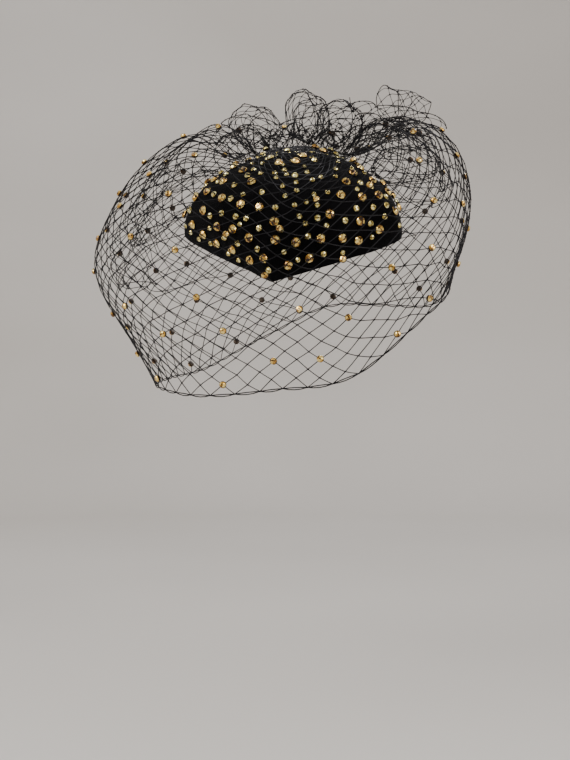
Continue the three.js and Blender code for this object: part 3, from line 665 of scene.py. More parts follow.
def ball_shape():
    """An icosahedron of radius 1."""
    g = (1 + 5 ** 0.5) / 2
    p = np.array([[-1, g, 0], [1, g, 0], [-1, -g, 0], [1, -g, 0], [0, -1, g], [0, 1, g],
                  [0, -1, -g], [0, 1, -g], [g, 0, -1], [g, 0, 1], [-g, 0, -1], [-g, 0, 1]], float)
    f = [[0, 11, 5], [0, 5, 1], [0, 1, 7], [0, 7, 10], [0, 10, 11], [1, 5, 9], [5, 11, 4], [11, 10, 2],
         [10, 7, 6], [7, 1, 8], [3, 9, 4], [3, 4, 2], [3, 2, 6], [3, 6, 8], [3, 8, 9], [4, 9, 5],
         [2, 4, 11], [6, 2, 10], [8, 6, 7], [9, 8, 1]]
    return p / np.linalg.norm(p[0]), np.array(f)


def copies(shape, faces, places, sizes, turns=None):
    """Copies of one small shape at places, each with its own size and, if given, its own turn."""
    sizes = np.asarray(sizes, float).reshape(len(places), -1)
    points = np.broadcast_to(shape, (len(places), *shape.shape)) * sizes[:, None]
    if turns is not None:
        points = np.einsum("nij,nkj->nki", turns, points)
    points = points + np.asarray(places)[:, None]
    offsets = (np.arange(len(places)) * len(shape))[:, None, None]
    return points.reshape(-1, 3), (np.asarray(faces) + offsets).reshape(-1, faces.shape[1])


def joined(parts):
    """Several (points, faces, faces, ...) joined into one set of points and a list of faces."""
    points, faces, start = [], [], 0
    for part in parts:
        points.append(part[0])
        for group in part[1:]:
            faces.append(np.asarray(group) + start)
        start += len(part[0])
    return np.concatenate(points), faces


# %% [markdown]
# The nylon is dyed black, with the least breath of blue. It is drawn smooth, so it shines a little
# along its length. We mix two near-blacks by a slow noise, as dye takes unevenly, and ripple
# the surface a touch where the knotting machine has pinched it.

# %% Dyed nylon
FINE_BUMP = 0.0001


def nylon(name, dark, light, roughness):
    """Smooth nylon whose dye goes from dark to light."""
    material, tree, shader = new_material(name, dark, roughness, Specular_IOR_Level=0.12)
    color_by(tree, shader, pattern(tree, "Noise", Scale=55.0, Detail=3.0), [(0.35, dark), (0.68, light)])
    add_bump(tree, shader, pattern(tree, "Noise", Scale=1900.0, Detail=2.0), FINE_BUMP, 0.6)
    return material


net_black = nylon("net_nylon", (0.0065, 0.0062, 0.0075), (0.0155, 0.0148, 0.0175), 0.52)


# %% The sides of all the diamonds
STEPS_ALONG = 4  # points on each side of a diamond
THICKER_AT_KNOTS = 0.22
STRANDS_VARY, KNOTS_VARY = (0.93, 1.07), (0.85, 1.2)


def sides_between(table, start, end, shares, wraps=True):
    """Runs of points on a surface, at shares of the way from places (u, v) to places (u, v)."""
    u, v = (a[:, None] + (b - a)[:, None] * shares for a, b in zip(start, end))
    return read_surface(table, u, v, wraps)


def net_sides(table, u, v):
    """Runs of points along the sides of the diamonds below the gather, and the knots among them."""
    rows, cells = u.shape
    odd = (np.arange(rows - 1) % 2)[:, None]
    above = np.arange(1, rows)[:, None]
    runs = []
    for shift in (-1, 0):
        index = (np.arange(cells) + odd + shift) % cells
        u1, v1 = u[above, index], v[above, index]
        u1 = u1 - np.round(u1 - u[:-1])
        keep = v[:-1] > 0
        u0, v0, u1, v1 = u[:-1][keep], v[:-1][keep], u1[keep], v1[keep]
        uncut = np.where(v1 < 0, v0 / np.maximum(v0 - v1, 1e-9), 1.0)
        shares = np.linspace(0, 1, STEPS_ALONG)[None] * uncut[:, None]
        runs.append(sides_between(table, (u0, v0), (u1, v1), shares))
    inside = v > 0
    return np.concatenate(runs), read_surface(table, u[inside], v[inside])


def strand_parts(runs, strand, random):
    """Tubes that thicken towards both ends, each a little thicker or thinner than the next."""
    swell = 1 + THICKER_AT_KNOTS * np.abs(np.linspace(-1, 1, runs.shape[1])) ** 3
    return tubes(runs, strand / 2 * swell[None] * random.uniform(*STRANDS_VARY, (len(runs), 1)))


def knot_parts(places, random):
    """A small lump at every knot, each pulled out of round in its own way."""
    return copies(*ball_shape(), places, KNOT / 2 * random.uniform(*KNOTS_VARY, (len(places), 3)))


# %% [markdown]
# The cut edge of the net would fray, so the strip is knitted with a selvage: two heavier strands
# that run through the last row of knots. It hangs in shallow scallops from knot to knot, and its
# weight is what draws the veil down into an even line.

# %% The veil's net and its selvage
SELVAGE = 0.00075
SCALLOP, SCALLOP_ABOVE = 0.0011, 0.25  # how far one strand sags, and the share the other bows up
SELVAGE_STEPS = 5


def selvage_runs(places):
    """Two strands through a closed row of knots, one sagging and one bowed up between them."""
    after = np.roll(places, -1, 0)
    t = np.linspace(0, 1, SELVAGE_STEPS)[None, :, None]
    line = places[:, None] * (1 - t) + after[:, None] * t
    sag = np.array([0, 0, -1.0]) * 4 * t * (1 - t) * SCALLOP
    return np.concatenate([line + sag, line - sag * SCALLOP_ABOVE])


random = rng(11)
sides, knot_places = net_sides(veil_places, u, v)
veil_parts = [strand_parts(sides, STRAND, random), knot_parts(knot_places, random)]
hem_knots = read_surface(veil_places, u[0], v[0])
points, faces = joined([*veil_parts, tubes(selvage_runs(hem_knots), SELVAGE / 2)])
veil_piece = cover("veil_net", points, faces, net_black, ["veil"])
print(f"veil_net: {len(sides)} strands, {len(knot_places)} knots")

# %% [markdown]
# ## Where the stones sit
#
# Nobody plans a scatter like this one: the stones go on one by one, large ones first so that they
# are spread, and then the small ones wherever there is room. We follow the same order with the same
# run of numbers as the construction model, so each cut stone lands on the plain one it stands for.
# Then come the smallest, which the construction model doesn't hold at all.

# %% Scatter over the velvet
STONES = dict(large=dict(across=0.0066, tall=0.0031, count=40, apart=0.012),
              wide=dict(across=0.0064, tall=0.0029, count=24, apart=0.012),
              small=dict(across=0.0046, tall=0.0023, count=42, apart=0.0),
              tiny=dict(across=0.0038, tall=0.0018, count=80, apart=0.0))
STONE_LIFT, SMALL_LIFT, CROWDING, SPARE, FROM_GATHER = 0.0003, 0.0001, 1.25, 0.0003, 0.0015
OUT_TO, FURTHER_IN_FRONT, MOST_OUT = 0.965, 0.025, 0.995
MORE_IN_FRONT, CHOICES, ROOM_ENOUGH = 0.3, 4, 0.016
KNOT_LIFT = 0.0034
CAP_LOOP_PLACES = [(0.057, 0.014), (-0.056, 0.030)]
FROM_LOOP_KNOT = 0.015
TRIES = 20000
FACTOR, PRIME = 16807, 2147483647
VELVET_SEED, TINY_SEED = 4714, 90210
TINY_CROWDING, TINY_LOWER = 1.15, 0.02


def seeded(state):
    """Numbers from 0 to 1, made by the construction model's own rule."""
    while True:
        state = state * FACTOR % PRIME
        yield state / PRIME


def scatter(numbers, kinds, placed, crowding=CROWDING, under_net=False, lower=0.0):
    """Add stones (kind, half, point, normal, spin) to placed, each where there is most room."""
    knots = [dome_top(x, y, KNOT_LIFT) for x, y in CAP_LOOP_PLACES]
    for kind in kinds:
        size, made, found, best = STONES[kind], 0, 0, (0.0,)
        half = size["across"] / 2
        least = np.array([max(min(size["apart"], STONES[other[0]]["apart"]),
                              (other[1] + half) * crowding + SPARE) for other in placed])
        others = np.array([other[2] for other in placed]).reshape(-1, 3)
        for _ in range(TRIES):
            if made == size["count"]:
                break
            turn = next(numbers) * 2 * math.pi
            angle = turn - MORE_IN_FRONT * math.sin(turn)
            out_to = min(MOST_OUT, OUT_TO + lower + FURTHER_IN_FRONT * max(0, math.cos(angle)))
            share = math.sqrt(1 - next(numbers) ** 2) * out_to
            point = dome_point(angle, share)
            if any(np.linalg.norm(point - knot) < FROM_LOOP_KNOT for knot in knots):
                continue
            azimuth, from_axis = seen_from_gather(*point[:2])
            bare_from = fold_at(azimuth)[0, 0] + half + FROM_GATHER
            if not under_net and point[2] > 0 and from_axis < bare_from:
                continue
            far = np.linalg.norm(others - point, axis=1)
            if np.any(far <= least):
                continue
            room = min(far.min(initial=ROOM_ENOUGH), ROOM_ENOUGH)
            if room > best[0]:
                best = (room, angle, share, point)
            found += 1
            if found % CHOICES > 0:
                continue
            spin = math.radians(next(numbers) * 360)
            placed.append((kind, half, best[3], dome_normal(best[1], best[2]), spin))
            least = np.append(least, max(size["apart"], size["across"] * crowding + SPARE))
            others = np.vstack([others, best[3]])
            best = (0.0,)
            made += 1
    return placed


stones = scatter(seeded(VELVET_SEED), ["large", "wide", "small"], [])
stones = scatter(seeded(TINY_SEED), ["tiny"], stones, TINY_CROWDING, under_net=True, lower=TINY_LOWER)
print("stones on the velvet:", {kind: sum(s[0] == kind for s in stones) for kind in STONES})

# %% [markdown]
# ## Cutting a stone
#
# These are flat-backed stones: a crown of facets like a brilliant's, a thin girdle and a flat back
# with foil on it. The foil is why they glitter on black velvet. Each facet mirrors one patch of the
# room, so neighbours are dark and bright by turns, and the middle under the table often looks dark.
# A real mirror would do this only in a real room, so each facet's colour also carries a painted reflection,
# dark or bright.

# %% A cut stone of radius 1 and height 1
def cut_stone():
    """Points and faces of a round stone with sixteen sides, an eight-sided table and an eye in it."""
    def ring(count, radius, height, start=0.0):
        a = (np.arange(count) + start) * 2 * math.pi / count
        return np.stack([radius * np.cos(a), radius * np.sin(a), np.full(count, height)], -1)

    points = np.concatenate([ring(16, 0.82, 0), ring(16, 1, 0.28), ring(16, 0.99, 0.36),
                             ring(8, 0.84, 0.70), ring(8, 0.58, 0.97, 0.5), ring(8, 0.24, 0.99),
                             [[0, 0, 1.0], [0, 0, 0]]])
    back, girdle, brow, star, table, eye, top, under = 0, 16, 32, 48, 56, 64, 72, 73
    faces = []
    for k in range(16):
        n = (k + 1) % 16
        faces.append([under, back + n, back + k])
        for low, high in ((back, girdle), (girdle, brow)):
            faces.append([low + k, low + n, high + n])
            faces.append([low + k, high + n, high + k])
    for k in range(8):
        n = (k + 1) % 8
        a, b, c = brow + 2 * k, brow + 2 * k + 1, brow + (2 * k + 2) % 16
        faces += [[a, b, star + k], [b, c, star + n], [star + k, b, star + n]]
        faces += [[star + k, star + n, table + k], [star + n, table + n, table + k]]
        faces += [[table + k, eye + n, eye + k], [table + k, table + n, eye + n]]
        faces.append([eye + k, eye + n, top])
    return points, np.array(faces)


GEM, GEM_FACES = cut_stone()
# painted reflections: how much darker a facet is painted in a wedge, and in the eye
AMBER_PAINTED_DARK, PALE_PAINTED_DARK, NET_PAINTED_DARK = (0.60, 0.45), (0.30, 0.62), (0.35, 0.60)
# painted reflections: a facet's usual painted brightness, how it varies, where the dark wedges reach, and the
# girdle's one dark tone
PALE, PALE_VARIES, STONES_VARY = 0.80, 0.09, 0.06
WEDGES_VARY, WEDGE_OPPOSITE, WEDGE_REACH, EYE_REACH = (0.72, 0.92), -0.95, 0.86, 0.22
TWO_SIDED, TWO_SIDED_START, TWO_SIDED_FROM = 0.25, 1.3, 0.4
GIRDLE_TOP, GIRDLE_TONE = 0.34, 0.25


def painted_facet_light(random, count, wedge, eye):
    """Painted reflections: how bright each facet is painted, pale all round, but darker in a wedge or two and
    in the eye.
    """
    middle = GEM[GEM_FACES].mean(1)
    turned = np.arctan2(middle[:, 1], middle[:, 0]) - random.uniform(0, 2 * math.pi, (count, 1))
    out = np.hypot(middle[:, 0], middle[:, 1])
    tone = random.normal(PALE, PALE_VARIES, (count, len(middle))) + random.normal(0, STONES_VARY, (count, 1))
    ahead = np.cos(turned)
    in_wedge = (ahead > random.uniform(*WEDGES_VARY, (count, 1))) | (ahead < WEDGE_OPPOSITE)
    tone -= (wedge * in_wedge * (out < WEDGE_REACH) + eye * (out < EYE_REACH)
             + TWO_SIDED * np.cos(2 * turned + TWO_SIDED_START) * (out > TWO_SIDED_FROM))
    tone[:, middle[:, 2] < GIRDLE_TOP] = GIRDLE_TONE
    return np.clip(tone, 0, 1)


def standing_on(normals, spins):
    """Turns that stand a stone up along each normal, after its own spin."""
    normals = np.asarray(normals, float)
    helper = np.where(np.abs(normals[:, 2:]) < 0.9, [[0, 0, 1.0]], [[1.0, 0, 0]])
    across = unit(np.cross(helper, normals))
    other = np.cross(normals, across)
    c, s = np.cos(spins)[:, None], np.sin(spins)[:, None]
    return np.stack([across * c + other * s, other * c - across * s, normals], -1)


def stone_mesh(name, places, normals, spins, sizes, material, seed, shade, replaced=()):
    """Stones as one mesh, each facet with its own painted reflection as a brightness; sizes are across and
    tall.
    """
    random = rng(seed)
    across, tall = (np.broadcast_to(size, len(places)) for size in sizes)
    scales = np.stack([across / 2, across / 2, tall], -1)
    points, faces = copies(GEM, GEM_FACES, places, scales, standing_on(normals, spins))
    piece = cover(name, points, [faces], material, replaced, smooth=False)
    # painted reflection: each facet's brightness, kept on the mesh for the glass to be coloured by
    layer = piece.data.attributes.new("painted_reflection", "FLOAT", "FACE")
    tones = painted_facet_light(random, len(places), *shade)
    layer.data.foreach_set("value", tones.ravel().astype(np.float32))
    print(f"{name}: {len(places)} stones")


# %% Foiled glass
def foiled_glass(name, stops):
    """Glass over foil: a mirror coloured by each facet's painted reflection, under a clear polished skin."""
    material, tree, shader = new_material(name, stops[2][1], 0.12, Metallic=0.80,
                                          Coat_Weight=0.5, Coat_Roughness=0.03)
    # painted reflection of each facet, with a fine noise of painted shimmer laid over it
    painted_reflection = add_node(tree, "ShaderNodeAttribute", attribute_name="painted_reflection", attribute_type="GEOMETRY")
    painted_shimmer = pattern(tree, "Noise", Scale=900.0, Detail=1.0)
    spread = add_node(tree, "ShaderNodeMapRange", {"Value": painted_shimmer, "From Min": 0.3, "From Max": 0.7,
                                                  "To Min": -0.17, "To Max": 0.07})
    tone = add_node(tree, "ShaderNodeMath", {0: painted_reflection.outputs["Fac"], 1: spread.outputs["Result"]},
                    operation="ADD")
    color_by(tree, shader, tone.outputs[0], stops)
    return material


# in these ramps the dark end is a painted dark reflection and the near-white end a painted highlight; the
# amber or champagne between them is the glass's own colour
topaz = foiled_glass("topaz_foiled", [(0.12, (0.028, 0.010, 0.002)), (0.36, (0.17, 0.070, 0.009)),
                                      (0.64, (0.70, 0.39, 0.060)), (0.95, (1.0, 0.79, 0.28))])
champagne = foiled_glass("champagne_foiled", [(0.12, (0.045, 0.030, 0.005)), (0.36, (0.22, 0.15, 0.022)),
                                              (0.64, (0.80, 0.62, 0.16)), (0.95, (1.0, 0.95, 0.50))])


# %% Set the stones on the velvet
def set_stones(name, chosen, lift, material, seed, shade, replaced=()):
    """Stones from a scatter, each in its own size, standing on what they are glued to."""
    sizes = [np.array([STONES[kind][key] for kind, *_ in chosen]) for key in ("across", "tall")]
    _, _, points, normals, spins = (np.array(values) for values in zip(*chosen))
    stone_mesh(name, points + normals * lift, normals, spins, sizes, material, seed, shade, replaced)


def of_kind(placed, *kinds):
    """The stones of some kinds, in the order in which they were placed."""
    return [stone for stone in placed if stone[0] in kinds]


plain_stones = [f"stone_{k + 1:02d}" for k in range(STONES["large"]["count"])]
set_stones("stones_large", of_kind(stones, "large"), STONE_LIFT, topaz,
           21, AMBER_PAINTED_DARK, plain_stones)
set_stones("stones_wide", of_kind(stones, "wide"), SMALL_LIFT, topaz, 23, AMBER_PAINTED_DARK)
set_stones("stones_small", of_kind(stones, "small", "tiny"), SMALL_LIFT, champagne,
           22, PALE_PAINTED_DARK)

# %% [markdown]
# ## Stones on the net
#
# A few stones are fixed to the net's own crossings, about three centimetres apart. From outside they
# are gold, but through the net one also sees the far side's stones from behind, and these show their
# flat lacquered backs as dark dots. So each gets a crown that faces out and a back that doesn't.

# %% Stones at the net's crossings
NET_STONE, NET_STONE_TALL, NET_STONE_LIFT = 0.0046, 0.0021, 0.0004
NET_STONE_APART = 0.029
NET_STONES_FROM, NET_STONES_TO = 0.07, 0.995  # shares of the way down the veil
BACK_TALL, BACK_ACROSS, BACK_LIFT = 0.35, 0.96, 0.0002


def facing(table, u, v):
    """The way that the surface faces outwards at (u, v)."""
    step_u, step_v = 0.5 / table.shape[0], 0.5 / table.shape[1]
    along = read_surface(table, u + step_u, v) - read_surface(table, u - step_u, v)
    down = read_surface(table, u, v + step_v) - read_surface(table, u, v - step_v)
    return unit(np.cross(along, down))


def spaced(places, apart, seed):
    """Indices of places picked in a shuffled order, none nearer to another than apart."""
    kept = []
    for k in rng(seed).permutation(len(places)):
        if all(np.linalg.norm(places[k] - places[j]) > apart for j in kept):
            kept.append(k)
    return np.array(kept)


inside = (v > NET_STONES_FROM) & (v < NET_STONES_TO)
knots_u, knots_v = u[inside], v[inside]
knot_places = read_surface(veil_places, knots_u, knots_v)
chosen = spaced(knot_places, NET_STONE_APART, 31)
outward = facing(veil_places, knots_u[chosen], knots_v[chosen])
centre = np.array([*GATHER_AXIS, 0])
outward *= np.sign(np.sum(outward * (knot_places[chosen] - centre), -1, keepdims=True))
places = knot_places[chosen]
spins = rng(32).uniform(0, 2 * math.pi, len(chosen))
stone_mesh("net_stones", places + outward * NET_STONE_LIFT, outward, spins, (NET_STONE, NET_STONE_TALL),
           topaz, 33, NET_PAINTED_DARK)

lacquer, tree, shader = new_material("foil_lacquer", (0.05, 0.036, 0.026), 0.38, Metallic=0.5)
worn = pattern(tree, "Noise", Scale=700.0, Detail=3.0)
color_by(tree, shader, worn, [(0.4, (0.028, 0.02, 0.015)), (0.75, (0.11, 0.08, 0.055))])
mirrored = GEM[:, [1, 0, 2]] * [1, 1, BACK_TALL]
scales = np.full((len(places), 1), NET_STONE / 2 * BACK_ACROSS)
backs, back_faces = copies(mirrored, GEM_FACES, places - outward * BACK_LIFT, scales,
                           standing_on(-outward, -spins))
cover("net_stone_backs", backs, [back_faces], lacquer)

# %% [markdown]
# ## Patches of net
#
# The loops, the bunched top and the second layers are patches cut from the same strip. On these we
# needn't lay the net knot by knot: a patch is a small lattice that is spread evenly over its
# surface, with every knot moved a little, and its cells close up by themselves where the surface is
# drawn together.

# %% A lattice of net on any surface
PATCH_SLIP = 0.0005  # how far a patch's knots have slipped
PATCH_SELVAGE = 0.4  # radius of a patch's edge, as a share of the hem's selvage


def lattice(table, along, across, seed, wraps):
    """Runs of points for the sides of a net of so many cells, its knots, and its two long edges."""
    random = rng(seed)
    rows, columns = 2 * along + (0 if wraps else 1), 2 * across + 1
    i, j = np.meshgrid(np.arange(rows), np.arange(columns), indexing="ij")
    size_u = np.linalg.norm(np.diff(table[:, ::8], axis=0), axis=-1).sum(0).mean()
    size_v = fold_lengths(table[::8]).mean()
    loose = (j > 0) & (j < columns - 1)
    u = i / (2 * along) + random.normal(0, PATCH_SLIP / size_u, i.shape) * loose
    v = j / (2 * across) + random.normal(0, PATCH_SLIP / size_v, i.shape) * loose
    if not wraps:
        u = np.clip(u, 0, 1)
    knot = (i + j) % 2 == 0
    shares = np.linspace(0, 1, STEPS_ALONG)
    runs = []
    for step in (-1, 1):
        keep = knot & (j + step >= 0) & (j + step < columns)
        if not wraps:
            keep &= i + 1 < rows
        a, b = i[keep], j[keep]
        end = ((a + 1) % rows, b + step)
        u1 = u[end] + (u[end] < u[a, b] - 0.5)
        runs.append(sides_between(table, (u[a, b], v[a, b]), (u1, v[end]), shares, wraps))
    fine = np.linspace(0, 1, 8 * along + 1)
    edges = [read_surface(table, fine, np.full(fine.shape, edge), wraps) for edge in (0.0, 1.0)]
    return np.concatenate(runs), read_surface(table, u[knot], v[knot], wraps), edges


def cells_for(table, cell_u, cell_v):
    """How many cells fit along and across a patch at its fullest."""
    size_u = np.linalg.norm(np.diff(table, axis=0), axis=-1).sum(0).max()
    return max(3, round(size_u / cell_u)), max(2, round(fold_lengths(table).max() / cell_v))


def patches_mesh(name, patches, seed, strand, replaced=(), selvage=True, material=net_black):
    """One mesh of several patches of net, each (table, along, across, wraps)."""
    parts = []
    for k, (table, along, across, wraps) in enumerate(patches):
        runs, knots, edges = lattice(table, along, across, seed + k, wraps)
        parts += [strand_parts(runs, strand, rng(seed + k)), knot_parts(knots, rng(seed + k))]
        if selvage:
            parts += [tubes(edge[None], SELVAGE * PATCH_SELVAGE) for edge in edges]
    points, faces = joined(parts)
    return cover(name, points, faces, material, replaced)


# %% [markdown]
# ## Loops of net
#
# Each loop is a short strip of net folded over and sewn down by its two ends, so that it stands up
# by its own springiness. Both long edges are selvages, which draw a clear line, but for the two inner
# loops: those come from the middle of the strip. The band between the edges bulges a little, and a
# knot of thread holds the foot. One table gives where each loop stands, the way that it points, the
# way that its width runs, and its sizes.

# %% The table of loops, in millimetres and degrees
GATHER_LIFT, GATHER_MEAN, OVER_VEIL = 0.0009, 0.0034, 0.0020
END_RISE, ROUNDNESS, SHOULDER = 0.9, 1.15, 0.8
ARCHED, ARCH_FOOT = 0.65, 0.2  # how near a loop's sides come to an arch, below the share of its height
LOOP_RUFFLE = 1.3  # how far a loop's edge waves in and out
LOOP_COLUMNS = ("name", "x", "y", "over", "point_az", "point_el", "width_az", "width_el", "height",
                "breadth", "half_width", "foot_half", "cup", "droop")
LOOPS = [dict(zip(LOOP_COLUMNS, row)) for row in (
    ("loop_centre", 11, 12, "gather", -60, 86, -6, -4, 35.5, 14, 22, 12, 0.25, 0),
    ("loop_right_tall", 79, 31, "veil", 70, 78, 138, 0, 23, 12.2, 18, 6, 0, 0),
    ("loop_left", -21, 11, "gather", -92, 64, -10, 0, 36, 15, 18, 11, 0.15, 7),
    ("loop_right_low", 29, 20, "gather", 80, 78, -4, 0, 32, 15, 17, 11, 0.15, 0),
    ("loop_right_inner", 57, 14, "cap", 96, 12, 10, 0, 48, 12, 17, 7, 0.1, 6),
    ("loop_left_inner", -56, 30, "cap", -88, -12, 0, 0, 76, 11, 13, 6, 0.1, 32),
)]
LOOP_ROUNDS, LOOP_ACROSSES, VEIL_TOP_STEPS = 73, 25, 200


def direction(azimuth, elevation):
    """The way to an azimuth, 0 in front and 90 at the right, and an elevation, in degrees."""
    a, e = math.radians(azimuth), math.radians(elevation)
    return np.array([math.sin(a) * math.cos(e), -math.cos(a) * math.cos(e), math.sin(e)])


def veil_top(x, y):
    """The point of the veil's upper half over a place in plan."""
    azimuth, from_axis = seen_from_gather(x, y)
    places = read_surface(veil_places, (azimuth + 180) / 360, np.linspace(0, 0.5, VEIL_TOP_STEPS))
    miss = np.abs(np.hypot(*(places[:, :2] - GATHER_AXIS).T) - from_axis)
    return places[miss.argmin()]


def loop_foot(x, y, over):
    """Where a loop is knotted, over a place in plan."""
    if over == "veil":
        return veil_top(x, y) + [0, 0, KNOT_LIFT + OVER_VEIL]
    return dome_top(x, y, KNOT_LIFT + (GATHER_LIFT + GATHER_MEAN if over == "gather" else 0))


def loop_stand(row, lean=0.0):
    """A loop's foot, and the ways that it points, that its width runs and that its sides part."""
    foot = loop_foot(row["x"] * MM, row["y"] * MM, row["over"])
    out = direction(row["point_az"] + lean, row["point_el"])
    width = direction(row["width_az"] + lean, row["width_el"])
    width = unit(width - out * (width @ out))
    return foot, out, width, np.cross(out, width)


def loop_table(row, size=1.0, lean=0.0, ruffle=0.0):
    """Places of a loop's band, from knot to knot and over its width."""
    foot, out, width, side = loop_stand(row, lean)
    height, half = row["height"] * size, row["half_width"] * size
    ends = math.acos(1 - 2 * END_RISE / height) / (2 * math.pi)
    s = (ends + (1 - 2 * ends) * np.linspace(0, 1, LOOP_ROUNDS))[:, None]
    w = np.linspace(-1, 1, LOOP_ACROSSES)[None]
    drawn = 1 - row["cup"] * w * w
    rise = height * 0.5 * (1 - np.cos(2 * math.pi * s)) * (0.5 + 0.5 * drawn)
    leaf = np.sin(2 * math.pi * s) * np.sqrt(np.sin(math.pi * s))
    arch = np.sign(leaf) * np.sqrt(1 - (rise / height) ** 2) * np.minimum(1, rise / height / ARCH_FOOT) ** 0.5
    leaf = leaf + ARCHED * np.sign(leaf) * np.maximum(0, np.abs(arch) - np.abs(leaf))
    spread = row["breadth"] * size * ROUNDNESS * leaf * drawn
    reach = row["foot_half"] + (half - row["foot_half"]) * np.sin(math.pi * s) ** SHOULDER
    wave = ruffle * np.sin(2 * math.pi * (4 * s + 0.5 * w)) * np.sin(math.pi * s)
    local = (rise + wave)[..., None] * out + spread[..., None] * side + (reach * w)[..., None] * width
    local[..., 2] -= row["droop"] * size * (rise / height) ** 2
    return foot + local * MM


LOOP_CELL, LOOP_STRAND = (0.0120, 0.0108), 0.00040
for k, row in enumerate(LOOPS):
    table = loop_table(row, ruffle=LOOP_RUFFLE)
    patches = [(table, *cells_for(table, *LOOP_CELL), False)]
    patches_mesh(f"{row['name']}_net", patches, 100 + 10 * k, LOOP_STRAND,
                                    [row["name"]], selvage="inner" not in row["name"])

# %% [markdown]
# ## The bunched top
#
# All the fullness of the strip is drawn up on the crown and stitched down. In front it hangs like a
# small swag: strands run round in shallow curves, one over another, because the cells there are
# pulled long and nearly shut. We lay two layers of such drawn-out cells over the mound, each at its
# own height, and leave the creases between its folds open to the velvet. Drawn tight like this the
# nylon catches more light than it does elsewhere, so its strands get a paler colour: a painted sheen
# on the same black dye. A few more stones were glued on last, over the net.

# %% Swagged net on the gather
GATHER_CROWN, GATHER_RIPPLE, GATHER_FOLDS, GATHER_THINNED = 0.070, 0.0014, 3, 0.38


def gather_point(azimuth, out, layer=1.0, wave=0.0):
    """Places on the gather's mound: out is the share of the way to its edge, layer 0 its foot."""
    azimuth, out = np.broadcast_arrays(np.asarray(azimuth, float), np.asarray(out, float))
    edge = fold_at(azimuth.ravel())[:, :2].reshape(*azimuth.shape, 2)
    a = np.radians(azimuth)
    r = edge[..., 0] * out
    z = edge[..., 1] + (GATHER_CROWN - edge[..., 1]) * (1 - out ** 2)
    places = around_gather(a, r, z)
    ripple = GATHER_RIPPLE * (0.5 + 0.5 * np.cos(a)) * np.cos(out * GATHER_FOLDS * 2 * math.pi)
    depth = (GATHER_MEAN + ripple * out) * (1 - GATHER_THINNED * out ** 4) * layer
    depth = depth + wave * np.sin(5 * a + 9 * out)
    return onto_dome(places, GATHER_LIFT + np.maximum(depth, 0))


GATHER_TURNS, GATHER_RINGS = 144, 49
SWAG_FROM, SWAG_TO, SWAG_WAVE, SWAG_STRAND = 0.08, 1.02, 0.0004, 0.00042
SWAG_LAYERS = [(0.35, 8, 5), (1.0, 9, 6)]  # height, cells round, cells from edge to crown


def gather_table(layer):
    """One layer's places, round the mound and from its crown to its edge."""
    azimuth = -180 + 360 * np.arange(GATHER_TURNS)[:, None] / GATHER_TURNS
    return gather_point(azimuth, np.linspace(SWAG_FROM, SWAG_TO, GATHER_RINGS)[None], layer, SWAG_WAVE)


swag = [(gather_table(layer), round_it, rings, True) for layer, round_it, rings in SWAG_LAYERS]
# painted sheen: a paler copy of the net's nylon on the tight swag, standing in for the light that it catches
net_painted_sheen = nylon("net_nylon_painted_sheen", (0.014, 0.014, 0.017), (0.060, 0.060, 0.068), 0.38)
gather_piece = patches_mesh("gather_net", swag, 500, SWAG_STRAND, ["net_gather"], False, net_painted_sheen)

# %% Stones over the gather
GATHER_STONES = dict(count=13, wide_every=3, apart=0.0085, from_knots=0.014,
                     out_from=0.2, out_to=0.85, front=110)
GATHER_SEED = 2903
GATHER_LOOP_PLACES = [(0.0096, 0.012), (-0.018, 0.011), (0.029, 0.020)]


def gather_scatter(numbers):
    """Places on the front of the gather, away from the loops' knots."""
    size, placed = GATHER_STONES, []
    knots = [loop_foot(x, y, "gather") for x, y in GATHER_LOOP_PLACES]
    while len(placed) < size["count"]:
        azimuth = (2 * next(numbers) - 1) * size["front"]
        out = size["out_from"] + (size["out_to"] - size["out_from"]) * math.sqrt(next(numbers))
        point = gather_point(azimuth, out)
        if any(np.linalg.norm(knot - point) <= size["from_knots"] for knot in knots):
            continue
        if any(np.linalg.norm(other[2] - point) <= size["apart"] for other in placed):
            continue
        kind = "wide" if len(placed) % size["wide_every"] == 0 else "small"
        normal = point / np.linalg.norm(point)
        placed.append((kind, STONES[kind]["across"] / 2, point, normal, math.radians(next(numbers) * 360)))
    return placed


over_gather = gather_scatter(seeded(GATHER_SEED))
set_stones("gather_stones_wide", of_kind(over_gather, "wide"), 0, topaz, 24, AMBER_PAINTED_DARK)
set_stones("gather_stones_small", of_kind(over_gather, "small"), 0, champagne,
           25, PALE_PAINTED_DARK)

# %% [markdown]
# ## A mist of frills behind
#
# The rest of the strip is sewn down so that it stands up behind the crown: one frill round the back
# of the gather, three longer sheets right across, and a smaller loop inside the middle one. Seen
# together they read as a dark mist of crossing strands, out of which the tall loops rise. Their folds
# can't be counted, so these places are only likely ones. The frill follows the gather's edge for part
# of its way round, stands on it, leans out, and waves in and out along its top.

# %% The frill round the back
# azimuths, share of the way to the gather's edge, then millimetres, and the folds along it
FRILL = dict(start=92, stop=268, out=0.62, height=17, lean=6, wave=5.0, folds=6)
FRILL_ALONGS, FRILL_UPS = 161, 33
FRILL_CELL, FRILL_STRAND = (0.0160, 0.0150), 0.00040


